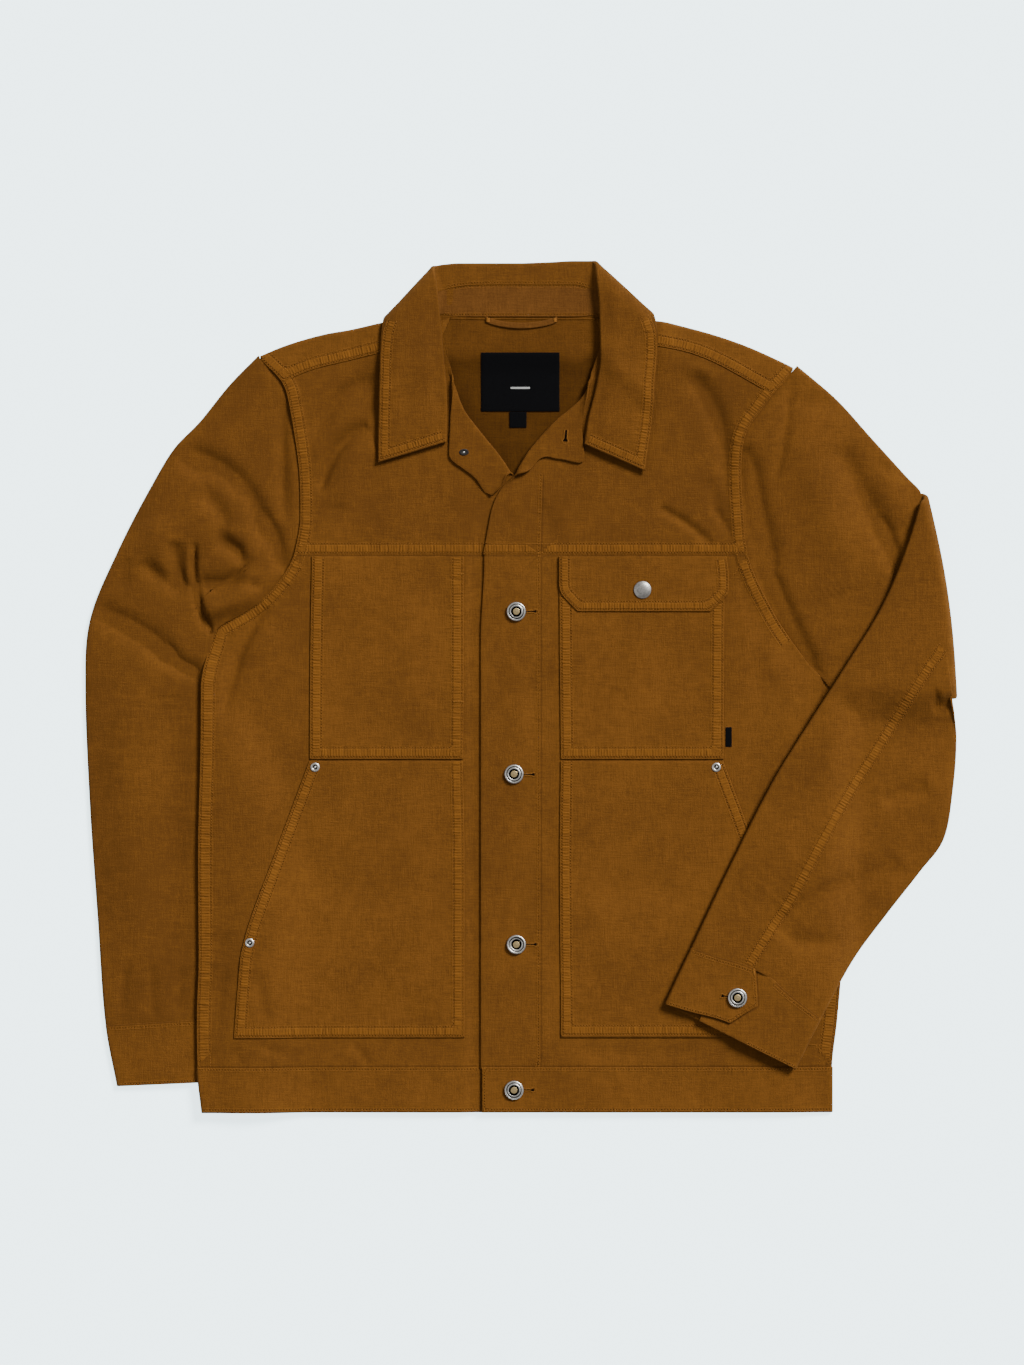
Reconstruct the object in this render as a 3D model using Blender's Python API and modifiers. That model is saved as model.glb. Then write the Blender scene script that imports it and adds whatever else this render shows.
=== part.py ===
"""A cotton canvas trucker jacket, unbuttoned at the collar, laid flat on its back.

The right sleeve lies beside the body and a little under it; the left sleeve is
folded over at the elbow, so that its forearm crosses the left front.  "Right"
and "left" are the wearer's.  +X is the wearer's left, +Y the collar, +Z up.

Every cloth piece is one grid, shaped by a function of its place on the jacket
and thickened to a wall.  Lengths in the tables are millimetres.
"""
import math

import bpy
from mathutils import Vector

NAME = "trucker_jacket"
MM = 0.001

# ---------------------------------------------------------------- walls and gaps
CLOTH = 1.5            # one layer of canvas with its seam turnings
BAND = 1.7             # waistband and cuffs, two layers pressed together
COLLAR = 1.9           # the collar fall, two layers and interlining
LABEL = 1.0            # woven labels and the hanger loop
SEAM = 0.3             # between two pieces that are sewn edge to edge
REST = 0.45            # under a piece that lies on a panel

# ---------------------------------------------------------------- heights
SIDE_TOP = 3.3         # top of the fronts at the side seams
MIDDLE_TOP = 6.2       # top of the fronts in the middle of the body
SHOULDER_TOP = 5.2     # top of the fold along the shoulders
ROUNDING = 40.0        # width over which the fronts round down to an edge
UNDERLAP_DROP = 2.0    # how far the right front dips to pass under the left
SLEEVE_LIFT = 7.0      # how far the body climbs on to the right sleeve
COLLAR_LIFT = 2.6      # how far the back climbs on to the collar fall
TUBE_EDGE = 1.75       # from a sleeve's middle plane to its wall at the edges
ELBOW_RADIUS = 4.5     # middle plane of the left sleeve round its fold
FOREARM_REST = 8.9     # underside of the folded forearm over the left front
ARM_ON_ARM = 9.0       # underside of the folded forearm over the upper arm
LAPEL_RADIUS = 1.05    # middle of the cloth round a lapel's roll
COLLAR_RADIUS = 1.15   # middle of the cloth round the collar's roll
SHOULDER_RADIUS = (SHOULDER_TOP - CLOTH) / 2
SHOULDER_DEPTH = SHOULDER_RADIUS + CLOTH / 2

# ---------------------------------------------------------------- body outline
HEM_SEAM = -335.0      # where the waistband is sewn on
HEM_EDGE = -375.0
YOKE_SEAM = 116.0      # lower edge of the front yokes
ARMPIT = 48.0
NECK_SEAM = 324.6
NECK_HALF = 66.0       # half of the back neck that lies flat
FRONT_EDGE = -36.5     # free edge of the left front, which laps over the right
UNDER_EDGE = 15.0      # free edge of the right front, hidden under the left
RIGHT_SHOULDER = -233.0    # shoulder points, where the armholes meet the shoulder fold
LEFT_SHOULDER = 242.0
FORWARD_END = {"right": 268.0, "left": 257.0}   # forward seams at the armholes

# Side seams below the armpits and armhole seams above them.
BODY = (("y", "right", "left"), (
    (-375, -281, 273),
    (-340, -285, 273),
    (-291, -286, 278),
    (-240, -284.5, 281.5),
    (-144, -285, 278),
    (-60, -283, 272),
    (-12, -281.7, 271),
    (0, -281, 268),
    (18, -277.7, 253),
    (36, -273, 240.5),
    (52, -268, 229.5),
    (60, -255, 224.5),
    (70, -238, 219),
    (84, -222, 211.5),
    (108, -204, 201),
    (130, -197.5, 196.5),
    (150, -195, 195),
    (189, -196, 193),
    (227, -201, 199),
    (241, -203.5, 209),
    (258, -207, 221.5),
    (268, -211, 231),
    (290, -233, 250),
))

# Inner edge of the right sleeve, where it lies under the body.
SLEEVE_REACH = (("y", "x"), (
    (-375, -227), (-139, -229), (-69, -248), (-25, -275), (2, -283), (34, -283),
))

# Fold along the shoulders, as seen from the front.
SHOULDER = (("x", "y"), (
    (-240, 287), (-233, 290), (-209, 300), (-175, 310), (-150, 314.5), (-134, 314),
    (-122, 311), (-108, 311), (-90, 315), (-72, 320), (70, 321), (90, 316), (106, 311),
    (122, 312), (136, 316), (168, 310), (197, 300), (222, 289), (242, 279), (250, 274),
))

# Seam on the front where the back, brought over the shoulder, meets the yoke.
FORWARD_SEAM = (("x", "y"), (
    (-240, 252), (-210, 268), (-187, 278), (-156, 286), (-127, 293), (-99, 300), (-66, 309),
    (66, 307), (95, 303), (122, 299), (150, 293), (172, 284), (196, 271), (220, 257), (250, 238),
))

# Inner edge of each front yoke.  The edge strip starts at the roll and goes
# towards (edge_x, edge_y); fold is how far it turns back, 180 being a lapel.
RIGHT_LAPEL = (("v", "roll_x", "roll_y", "edge_x", "edge_y", "fold", "width"), (
    (116, 3, 116, 15, 116, 0, 12),
    (138, -1, 138, 9, 138, 0, 10),
    (155, -4, 155, 3, 155, 0, 7),
    (166, -5, 166, 0, 166, 0, 5),
    (174, -7, 175, -3, 176, 0, 4),
    (181, -10, 185, -8, 186, 0, 2),
    (184, -11, 187.5, -9, 188.5, 80, 2),
    (187, -12.5, 190, -15, 182, 165, 8),
    (189, -13.5, 191.5, -23, 169, 178, 24),
    (196, -18, 198, -40, 182, 180, 27),
    (206, -25, 207.5, -51.5, 191.5, 180, 31),
    (216, -33, 217, -62, 199.5, 180, 34),
    (229, -42.5, 229, -64, 214, 180, 26),
    (242, -52, 242, -63.5, 233, 180, 14),
    (262, -60.5, 264, -63, 262.5, 120, 3.5),
    (285, -68, 308, -65, 308, 0, 3),
))
LEFT_LAPEL = (("v", "roll_x", "roll_y", "edge_x", "edge_y", "fold", "width"), (
    (116, -22, 116, -33, 116, 0, 11),
    (138, -18, 138, -29, 138, 0, 11),
    (160, -14, 161, -22, 164, 0, 9),
    (172, -10, 175, -14.5, 177.5, 0, 5),
    (180, -6, 183, -8, 184.2, 60, 2.5),
    (187, -1, 193, 6, 189, 165, 8),
    (196, 7, 206, 16, 201, 180, 11),
    (206, 16, 217, 32, 200, 180, 23),
    (216, 25, 227, 53.5, 197.5, 180, 41),
    (227, 33, 235, 54, 214, 180, 29.5),
    (242, 42, 242, 53, 230, 180, 16),
    (262, 54, 258, 57, 254, 120, 4),
    (285, 66, 306, 63, 306, 0, 3),
))

# ---------------------------------------------------------------- sleeves
# Stations from the armhole (0) over the cuff seam (1) to the cuff's end (1.1):
# both edges, share of the armhole's curve, puff of each layer, turn of the fold.
SLEEVE_COLUMNS = ("a", "outer_x", "outer_y", "inner_x", "inner_y", "cap",
                  "front_puff", "back_puff", "turn")
RIGHT_SLEEVE = (SLEEVE_COLUMNS, (
    (0.00, -233, 290, -270.5, 52, 1.00, 1.2, 0, 0),
    (0.10, -282, 236, -274, 40, 0.62, 2.0, 0, 0),
    (0.21, -326, 177, -277.6, 24, 0.30, 2.6, 0, 0),
    (0.32, -356, 118, -282, 2, 0.08, 2.4, 0, 0),
    (0.44, -380, 58, -276, -25, 0.00, 1.8, 0, 0),
    (0.56, -384, -3, -250, -69, 0.00, 1.6, 0, 0),
    (0.70, -380, -104, -232, -139, 0.00, 1.6, 0, 0),
    (0.85, -373, -205, -229, -214, 0.00, 1.6, 0, 0),
    (1.00, -366, -299, -236, -291, 0.00, 1.4, 0, 0),
    (1.10, -356, -352, -225, -346, 0.00, 1.4, 0, 0),
))
LEFT_SLEEVE = (SLEEVE_COLUMNS, (
    (0.00, 242, 279, 268, -2, 1.00, 1.2, 0, 0),
    (0.09, 275, 252, 299, -4, 0.55, 2.0, 0, 0),
    (0.18, 307, 218, 334, -7, 0.18, 2.0, 0, 0),
    (0.26, 338.5, 184, 364, -9.5, 0.00, 1.0, 0, 0),
    (0.300, 350.5, 170.5, 376, -11, 0.00, 0.6, 0, 0),
    (0.325, 350.5, 168.5, 376, -11, 0.00, 0.4, 0.3, 45),
    (0.350, 350.5, 166.5, 376, -11, 0.00, 0.3, 0.5, 90),
    (0.375, 350.5, 163.5, 376, -11, 0.00, 0.2, 0.6, 135),
    (0.400, 350, 160, 376, -11, 0.00, 0.1, 0.9, 180),
    (0.46, 338, 121, 382, -45, 0.00, 0, 1.4, 180),
    (0.54, 316, 69, 379, -90, 0.00, 0, 1.8, 180),
    (0.62, 284, 17, 371, -134, 0.00, 0, 2.0, 180),
    (0.70, 250, -36, 350, -163, 0.00, 0, 2.0, 180),
    (0.79, 220, -85, 321, -200, 0.00, 0, 1.8, 180),
    (0.89, 183, -158, 290, -242, 0.00, 0, 1.6, 180),
    (1.00, 149, -230, 262, -292, 0.00, 0, 1.4, 180),
    (1.10, 126, -279, 240, -336, 0.00, 0, 1.4, 180),
))
# Hind seams of the sleeves, as a share of the back layer's width from the outer edge.
RIGHT_HIND_SEAM = (("a", "share"), ((0.0, 0.60), (0.4, 0.66), (1.0, 0.43)))
LEFT_HIND_SEAM = (("a", "share"), (
    (0.0, 0.60), (0.30, 0.72), (0.40, 0.765), (0.43, 0.69), (0.46, 0.605), (0.51, 0.525),
    (0.57, 0.465), (0.63, 0.437), (0.70, 0.445), (0.79, 0.47), (0.87, 0.487), (0.945, 0.455), (1.0, 0.435),
))
HIND_GAP = 0.45        # half of the gap along it, which opens and shuts round the folds
TAB_POINT = 0.055      # how far a cuff's point reaches on, of the way round
CUFF_TUCK = 2.05       # how far a cuff's covered end lies inside the end that laps over it
# How far the left cuff is drawn up the forearm, by the place round it.
CUFF_DRAWN = (("g", "up"), ((0.53, 0), (0.60, 3.5), (0.70, 9.5), (0.76, 10.5), (0.84, 6), (0.97, 0)))

# Largest folds, as ridges (+) and troughs (-) along a line on the upper layer.
FOLD_COLUMNS = ("name", "x0", "y0", "x1", "y1", "width", "height")
RIGHT_SLEEVE_FOLDS = (FOLD_COLUMNS, (
    ("pouch at the armhole", -276, 78, -240, 96, 17, 3.6),
    ("pleat beside the pouch", -292, 118, -286, 62, 9, -1.2),
    ("upper drag line", -290, 196, -222, 150, 13, -1.2),
    ("elbow drag line", -368, 70, -284, 16, 13, -1.2),
))
LEFT_SLEEVE_FOLDS = (FOLD_COLUMNS, (
    ("elbow bunch", 372, -60, 342, -100, 16, 2.4),
    ("elbow trough", 368, -108, 318, -92, 12, -1.0),
    ("forearm drag line", 262, -40, 300, -150, 13, -1.0),
))
FRONT_FOLDS = (FOLD_COLUMNS, (
    ("right armpit drag line", -229, 58, -196, -10, 12, -1.0),
    ("left armpit drag line", 222, 40, 204, -24, 12, -1.0),
))

# ---------------------------------------------------------------- collar
# Sections from the centre back (0) to the front tip (1): neck seam, the stand's
# upper seam, the roll, the fall's free edge, and the turn round the neck.
COLLAR_COLUMNS = ("s", "neck_x", "neck_y", "top_x", "top_y", "roll_x", "roll_y",
                  "edge_x", "edge_y", "turn")
RIGHT_COLLAR = (COLLAR_COLUMNS, (
    (0.00, 0, 325.4, 0, 354, 0, 372, 0, 312, 0),
    (0.12, -30, 325.4, -30, 354, -30, 372, -33, 310, 0),
    (0.22, -53, 325.8, -52, 353, -55, 372, -64, 306, 0),
    (0.28, -66, 327, -64, 351, -68, 371, -92, 304, 0),
    (0.32, -70.5, 328, -69, 350, -74, 370, -109, 309, 12),
    (0.36, -76, 328, -76.5, 348, -78, 368, -119, 324, 90),
    (0.40, -81, 325, -79, 341, -76.5, 358, -122.5, 314, 150),
    (0.45, -85, 316, -79.5, 329, -74.5, 342, -124.2, 298, 180),
    (0.55, -87, 300, -78, 308, -72, 317, -125, 272, 180),
    (0.66, -85, 280, -76, 284, -69.5, 288, -125.7, 247, 180),
    (0.78, -82, 256, -74, 257, -67, 260, -126.2, 224, 180),
    (0.90, -77, 232, -72, 233, -66.8, 234, -126.4, 207, 180),
    (1.00, -73, 216, -70, 216, -67, 215, -126.4, 197, 180),
))
LEFT_COLLAR = (COLLAR_COLUMNS, (
    (0.00, 0, 325.4, 0, 354, 0, 372, 0, 312, 0),
    (0.12, 29, 325.4, 27, 354, 26, 373, 30, 310, 0),
    (0.22, 51, 325.8, 47, 354, 45, 374, 60, 306, 0),
    (0.28, 62, 327, 56, 352, 56, 374, 88, 304, 0),
    (0.32, 67, 328, 60, 351, 61, 374, 103, 309, 12),
    (0.36, 72, 328, 67.5, 349, 65, 372, 113, 328, 90),
    (0.40, 77, 325.5, 71.5, 340, 66, 359, 118.3, 314, 150),
    (0.45, 82, 315, 73, 328, 68, 342, 119, 296, 180),
    (0.55, 84, 300, 75, 308, 69, 318, 117, 270, 180),
    (0.66, 82, 280, 75, 284, 69.5, 290, 116, 247, 180),
    (0.78, 77, 256, 71, 258, 65.5, 262, 113.5, 224, 180),
    (0.90, 68, 232, 64, 234, 59, 236, 110.5, 206, 180),
    (1.00, 61, 216, 58, 215, 55.3, 213, 108.5, 189.5, 180),
))

# ---------------------------------------------------------------- pockets
# Left and right edge of each patch, from its top down.
RIGHT_CHEST = (("y", "x0", "x1"), ((-64, -187, -51.5), (30, -186.5, -51), (114.5, -185, -51)))
LEFT_CHEST = (("y", "x0", "x1"), ((-64, 34, 177.5), (30, 33, 178), (114.5, 32.5, 178.5)))
RIGHT_HAND = (("y", "x0", "x1"), (
    (-309, -253, -50.5), (-268, -250, -50.5), (-230, -246, -50.5), (-146, -217, -50.5), (-65, -187, -52),
))
LEFT_HAND = (("y", "x0", "x1"), (
    (-308, 34, 242), (-268, 34, 240), (-230, 33.5, 236), (-146, 33, 207), (-65, 34, 177),
))
FLAP = (("y", "x0", "x1"), ((66, 49, 166), (81, 34.5, 181.5), (98, 32.5, 182), (114.5, 32.5, 180)))

# ---------------------------------------------------------------- hard parts
FRONT_BUTTONS = (("name", "x", "y"), (
    ("front_button_1", -5, 66), ("front_button_2", -7, -77),
    ("front_button_3", -5, -227), ("front_button_4", -7, -355),
))
SNAP_AT = (106, 85)
CUFF_BUTTON_AT = (189, -273)
TACK_BACK_AT = (-51, 206)
RIVETS = (("name", "x", "y"), (
    ("rivet_right_pocket_top", -182, -71), ("rivet_right_pocket_side", -239, -225),
    ("rivet_left_pocket_top", 171, -71),
))
# Radius and height of each turned profile, from the axis underneath round to the axis on top.
BUTTON_PROFILE = ((0, 0), (6.5, 0), (8.5, 0.9), (8.5, 2.3), (7.6, 3.0), (5.6, 3.0), (4.9, 2.2), (0, 2.0))
SNAP_PROFILE = ((0, 0), (7.0, 0), (7.7, 0.7), (6.9, 1.6), (4.0, 2.3), (0, 2.6))
RIVET_PROFILE = ((0, 0), (3.8, 0), (3.8, 0.8), (2.2, 1.2), (1.4, 0.7), (0, 0.7))
TACK_PROFILE = ((0, 0), (4.2, 0), (4.2, 0.6), (2.6, 1.0), (0, 1.1))

COLOURS = {            # sRGB, roughness, metallic
    "canvas": ((117, 70, 17), 0.92, 0.0),
    "canvas inside": ((126, 80, 32), 0.94, 0.0),
    "label": ((24, 23, 24), 0.80, 0.0),
    "silver": ((176, 174, 168), 0.34, 1.0),
    "pewter": ((120, 118, 114), 0.40, 1.0),
    "copper": ((138, 110, 92), 0.42, 1.0),
}


# ================================================================ small helpers
def read(table, column, at):
    """Value of a column of a table at a place given by its first column, smoothly."""
    names, rows = table
    c = names.index(column)
    if at <= rows[0][0]:
        return rows[0][c]
    if at >= rows[-1][0]:
        return rows[-1][c]
    i = next(k for k in range(len(rows) - 1) if at <= rows[k + 1][0])
    left, right = rows[i], rows[i + 1]
    step = right[0] - left[0]
    chord = (right[c] - left[c]) / step
    slopes = []
    for near, other in ((i, i - 1), (i + 1, i + 2)):
        if 0 <= other < len(rows):
            beyond = (rows[other][c] - rows[near][c]) / (rows[other][0] - rows[near][0])
            slopes.append((chord + beyond) / 2 if chord * beyond > 0 else 0.0)
        else:
            slopes.append(chord)
    t = (at - left[0]) / step
    return (left[c] * (1 + 2 * t) * (1 - t) ** 2 + right[c] * t * t * (3 - 2 * t)
            + step * (slopes[0] * t * (1 - t) ** 2 - slopes[1] * t * t * (1 - t)))


def ease(t):
    """0 below 0, 1 above 1 and a smooth S between."""
    t = min(max(t, 0.0), 1.0)
    return t * t * (3 - 2 * t)


def mix(a, b, t):
    return a + (b - a) * t


def spread(start, end, count):
    """Even steps from start to end, both included."""
    return [mix(start, end, k / count) for k in range(count + 1)]


def folds(table, x, y):
    """Height that the ridges and troughs of a table add at a place."""
    total = 0.0
    for _, x0, y0, x1, y1, width, height in table[1]:
        start, line, here = Vector((x0, y0)), Vector((x1 - x0, y1 - y0)), Vector((x, y))
        along = (here - start).dot(line) / line.length_squared
        away = (here - start - line * min(max(along, 0.0), 1.0)).length
        total += height * math.exp(-(away / width) ** 2)
    return total


def linear(value):
    value /= 255
    return value / 12.92 if value <= 0.04045 else ((value + 0.055) / 1.055) ** 2.4


def paint(piece, colour):
    """Give a piece its own Principled material."""
    rgb, roughness, metallic = COLOURS[colour]
    material = bpy.data.materials.new(piece.name + " " + colour)
    material.use_nodes = True
    shader = material.node_tree.nodes["Principled BSDF"]
    shader.inputs["Base Color"].default_value = (*[linear(v) for v in rgb], 1.0)
    shader.inputs["Roughness"].default_value = roughness
    shader.inputs["Metallic"].default_value = metallic
    piece.data.materials.append(material)


def sheet(name, columns, rows, place, thickness=CLOTH, colour="canvas"):
    """A cloth piece: a grid whose every crossing goes where place(column, row) says."""
    bpy.ops.mesh.primitive_grid_add(x_subdivisions=len(columns) - 1, y_subdivisions=len(rows) - 1)
    piece = bpy.context.object
    piece.name = piece.data.name = name
    for vertex in piece.data.vertices:
        row, column = divmod(vertex.index, len(columns))
        vertex.co = Vector(place(columns[column], rows[row])) * MM
    wall = piece.modifiers.new("cloth wall", "SOLIDIFY")
    wall.thickness = thickness * MM
    wall.offset = 0.0
    paint(piece, colour)
    return piece


def turned(name, profile, place, colour, steps=16):
    """A round metal part: a profile turned about its own axis, standing at a place."""
    mesh = bpy.data.meshes.new(name)
    points = [(radius * MM, 0.0, height * MM) for radius, height in profile]
    mesh.from_pydata(points, [(k, k + 1) for k in range(len(points) - 1)], [])
    piece = bpy.data.objects.new(name, mesh)
    bpy.context.scene.collection.objects.link(piece)
    turn = piece.modifiers.new("turn", "SCREW")
    turn.axis = "Z"
    turn.steps = turn.render_steps = steps
    turn.use_merge_vertices = True
    turn.merge_threshold = 1e-5
    turn.use_normal_calculate = True
    piece.location = Vector(place) * MM
    paint(piece, colour)
    return piece


# ================================================================ body surfaces
def side_lift(x, y):
    """The body's right side climbs on to the right sleeve, which lies under it."""
    edge = read(SLEEVE_REACH, "x", y)
    return SLEEVE_LIFT * ease((34 - y) / 40) * ease((edge + 44 - x) / 52)


def neck_lift(x, y):
    """The back climbs on to the collar fall, folded under it."""
    return COLLAR_LIFT * ease((y - 272) / 26) * ease((152 - abs(x)) / 30)


def lift(x, y):
    return side_lift(x, y) + neck_lift(x, y)


def front_top(x, y):
    """Top of the fronts, without the underlap."""
    inwards = min(x - read(BODY, "right", y), read(BODY, "left", y) - x)
    rim = mix(SIDE_TOP, MIDDLE_TOP, ease((y - ARMPIT) / 60))
    flat = mix(rim, MIDDLE_TOP, ease(inwards / ROUNDING))
    near_shoulder = ease(1 - (read(SHOULDER, "y", x) - y) / ROUNDING)
    return (lift(x, y) + mix(flat, SHOULDER_TOP, near_shoulder)
            + folds(FRONT_FOLDS, x, y) * ease(inwards / 20))


def left_edge(y):
    """Free edge of the left front, up to where its lapel starts."""
    if y < YOKE_SEAM:
        return mix(FRONT_EDGE, -33.5, ease((y - 40) / 70))
    return min(read(LEFT_LAPEL, "edge_x", y), read(LEFT_LAPEL, "roll_x", y))


def right_top(x, y):
    """Top of the right front, dipping where the left one laps over it."""
    near = (x - left_edge(y) + 17) / 12
    return front_top(x, y) - UNDERLAP_DROP * ease(near)


# ================================================================ body pieces
def squeezed(column, drawn_edge, steady, edge):
    """A column of a panel that is drawn up to one edge and has to end at another.

    Columns on the inner side of the steady line stay where they are drawn."""
    if (column - steady) * (drawn_edge - steady) <= 0:
        return column
    return steady + (column - steady) * (edge - steady) / (drawn_edge - steady)


def right_front_at(column, y):
    x = squeezed(column, -285, -187, read(BODY, "right", y))
    return x, y, right_top(x, y) - CLOTH / 2


def left_front_at(column, y):
    if column < 0:
        x = column * left_edge(y) / FRONT_EDGE
    else:
        x = squeezed(column, 280, 179, read(BODY, "left", y))
    return x, y, front_top(x, y) - CLOTH / 2


def back_at(column, row):
    """The back: flat up to the shoulders, then over them and down to the forward seam.

    Columns are places along the shoulders; rows below 300 are heights on the
    back, and rows 301 to 306 go round the shoulder fold to the seam in front."""
    top = min(max((row - 240) / 60, 0.0), 1.0)
    front = max((row - 304) / 2, 0.0)
    ends = []
    for side, end_x in (("right", RIGHT_SHOULDER), ("left", LEFT_SHOULDER)):
        level = row if row <= 240 else mix(240, read(SHOULDER, "y", end_x) - SHOULDER_DEPTH, top)
        level = mix(level, FORWARD_END[side], front)
        ends.append(read(BODY, side, level))
    x = mix(*ends, (column - RIGHT_SHOULDER) / (LEFT_SHOULDER - RIGHT_SHOULDER))
    if row <= 240:
        return x, row, CLOTH / 2 + lift(x, row)
    over = ease((abs(column) - NECK_HALF) / 8)
    fold_y = read(SHOULDER, "y", x) - SHOULDER_DEPTH
    y = mix(240, mix(NECK_SEAM - 6, fold_y, over), top)
    flat = Vector((x, y, CLOTH / 2 + lift(x, y)))
    if row <= 300:
        return flat
    if row <= 304:
        angle = (row - 300) * math.pi / 4
        folded = flat + SHOULDER_RADIUS * Vector((0, math.sin(angle), 1 - math.cos(angle)))
    else:
        y = mix(fold_y, read(FORWARD_SEAM, "y", x), front)
        folded = Vector((x, y, front_top(x, y) - CLOTH / 2))
    return (flat + Vector((0, row - 300, 0))).lerp(folded, over)


def yoke_at(lapel, side, top_of):
    """Front yoke: across from the armhole (0) to the roll (1), then round it to the free edge."""
    shoulder_end = FORWARD_END[side] - 3 * SEAM

    def place(column, row):
        roll = Vector((read(lapel, "roll_x", row), read(lapel, "roll_y", row), 0))
        rise = max((row - 160) / 125, 0.0)
        armhole = read(BODY, side, mix(min(row, 160), shoulder_end, rise))
        if column <= 1:
            x = mix(armhole, roll.x, column)
            seam = read(FORWARD_SEAM, "y", x) - 3 * SEAM
            top_x = mix(read(BODY, side, shoulder_end), lapel[1][-1][1], column)
            y = mix(min(row, 160), read(FORWARD_SEAM, "y", top_x) - 3 * SEAM, rise)
            y = mix(y, min(roll.y, seam), ease((column - 0.7) / 0.3))
            return x, y, top_of(x, y) - CLOTH / 2
        roll.z = top_of(roll.x, roll.y) - CLOTH / 2
        edge = Vector((read(lapel, "edge_x", row), read(lapel, "edge_y", row), roll.z))
        fold = math.radians(read(lapel, "fold", row))
        outward = (edge - roll).normalized()
        if fold > math.pi / 2:
            outward = -outward
        part = min(column - 1, 1.0) * fold
        point = roll + LAPEL_RADIUS * (outward * math.sin(part) + Vector((0, 0, 1 - math.cos(part))))
        beyond = max(column - 2, 0.0) * read(lapel, "width", row)
        if fold < 0.2:
            beyond += min(column - 1, 1.0) * 1.2
        return point + beyond * (outward * math.cos(fold) + Vector((0, 0, math.sin(fold))))
    return place


def waistband_at(g, row):
    """Waistband: from the right front's hidden end round the back to the left front's end."""
    right, left = read(BODY, "right", row), read(BODY, "left", row)
    edge = BAND / 2 + 0.35
    low = BAND / 2
    if g < 1:
        x = mix(UNDER_EDGE, right + edge, g)
        return x, row, max(right_top(x, row) - CLOTH / 2, low + 2 * edge + lift(x, row))
    if g < 2:
        angle = (g - 1) * math.pi
        x = right + edge
        return x - edge * math.sin(angle), row, low + edge * (1 + math.cos(angle)) + lift(x, row)
    if g <= 3:
        x = mix(right + edge, left - edge, g - 2)
        return x, row, low + lift(x, row)
    if g < 4:
        angle = (g - 3) * math.pi
        x = left - edge
        return x + edge * math.sin(angle), row, low + edge * (1 - math.cos(angle))
    x = mix(left - edge, FRONT_EDGE + 1, g - 4)
    over = 0.2 * ease((60 - x) / 30)
    return x, row, max(front_top(x, row) - CLOTH / 2 + over, low + 2 * edge)


# ================================================================ what lies on the fronts
def patch_at(outline, top_of, above):
    """A patch on a front: the front's own points, moved out."""
    def place(column, row):
        x = mix(read(outline, "x0", row), read(outline, "x1", row), column)
        return x, row, top_of(x, row) + above + REST + CLOTH / 2
    return place


def strip_at(x0, x1, y0, y1, top_of, thickness):
    """A flat label or tape lying on a surface."""
    def place(column, row):
        x, y = mix(x0, x1, column), mix(y0, y1, row)
        return x, y, top_of(x, y) + REST + thickness / 2
    return place


def back_top(x, y):
    return CLOTH + lift(x, y)


# ================================================================ sleeves
def under_forearm(x, y):
    """Height of what the folded forearm lies on: the body, the upper arm, or the floor."""
    body = FOREARM_REST * ease((305 - x) / 40)
    armpit, elbow = Vector((268, -2)), Vector((376, -11))
    along = (elbow - armpit).normalized()
    above = along.x * (y - armpit.y) - along.y * (x - armpit.x)
    arm = ARM_ON_ARM * ease((above + 30) / 38)
    return max(0.4, (body ** 4 + arm ** 4) ** 0.25)


def section(g, width, front_puff, back_puff):
    """Across and up on a flattened tube.

    g goes once round: 0 on the inner edge, over the front layer, 0.5 on the outer
    edge, and back along the back layer."""
    corner = 0.03
    flat = 0.5 - 2 * corner
    if g < corner or g > 1 - corner:
        angle = (g if g < 0.5 else g - 1) / corner * math.pi / 2
        return TUBE_EDGE * (1 - math.cos(angle)), TUBE_EDGE * math.sin(angle)
    if abs(g - 0.5) < corner:
        angle = (0.5 - g) / corner * math.pi / 2
        return width - TUBE_EDGE * (1 - math.cos(angle)), TUBE_EDGE * math.sin(angle)
    front = g < 0.5
    share = (g - corner) / flat if front else (1 - corner - g) / flat
    puff = (front_puff if front else back_puff) * math.sin(share * math.pi) ** 0.7
    across = TUBE_EDGE + share * (width - 2 * TUBE_EDGE)
    return across, (TUBE_EDGE + puff) * (1 if front else -1)


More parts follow.
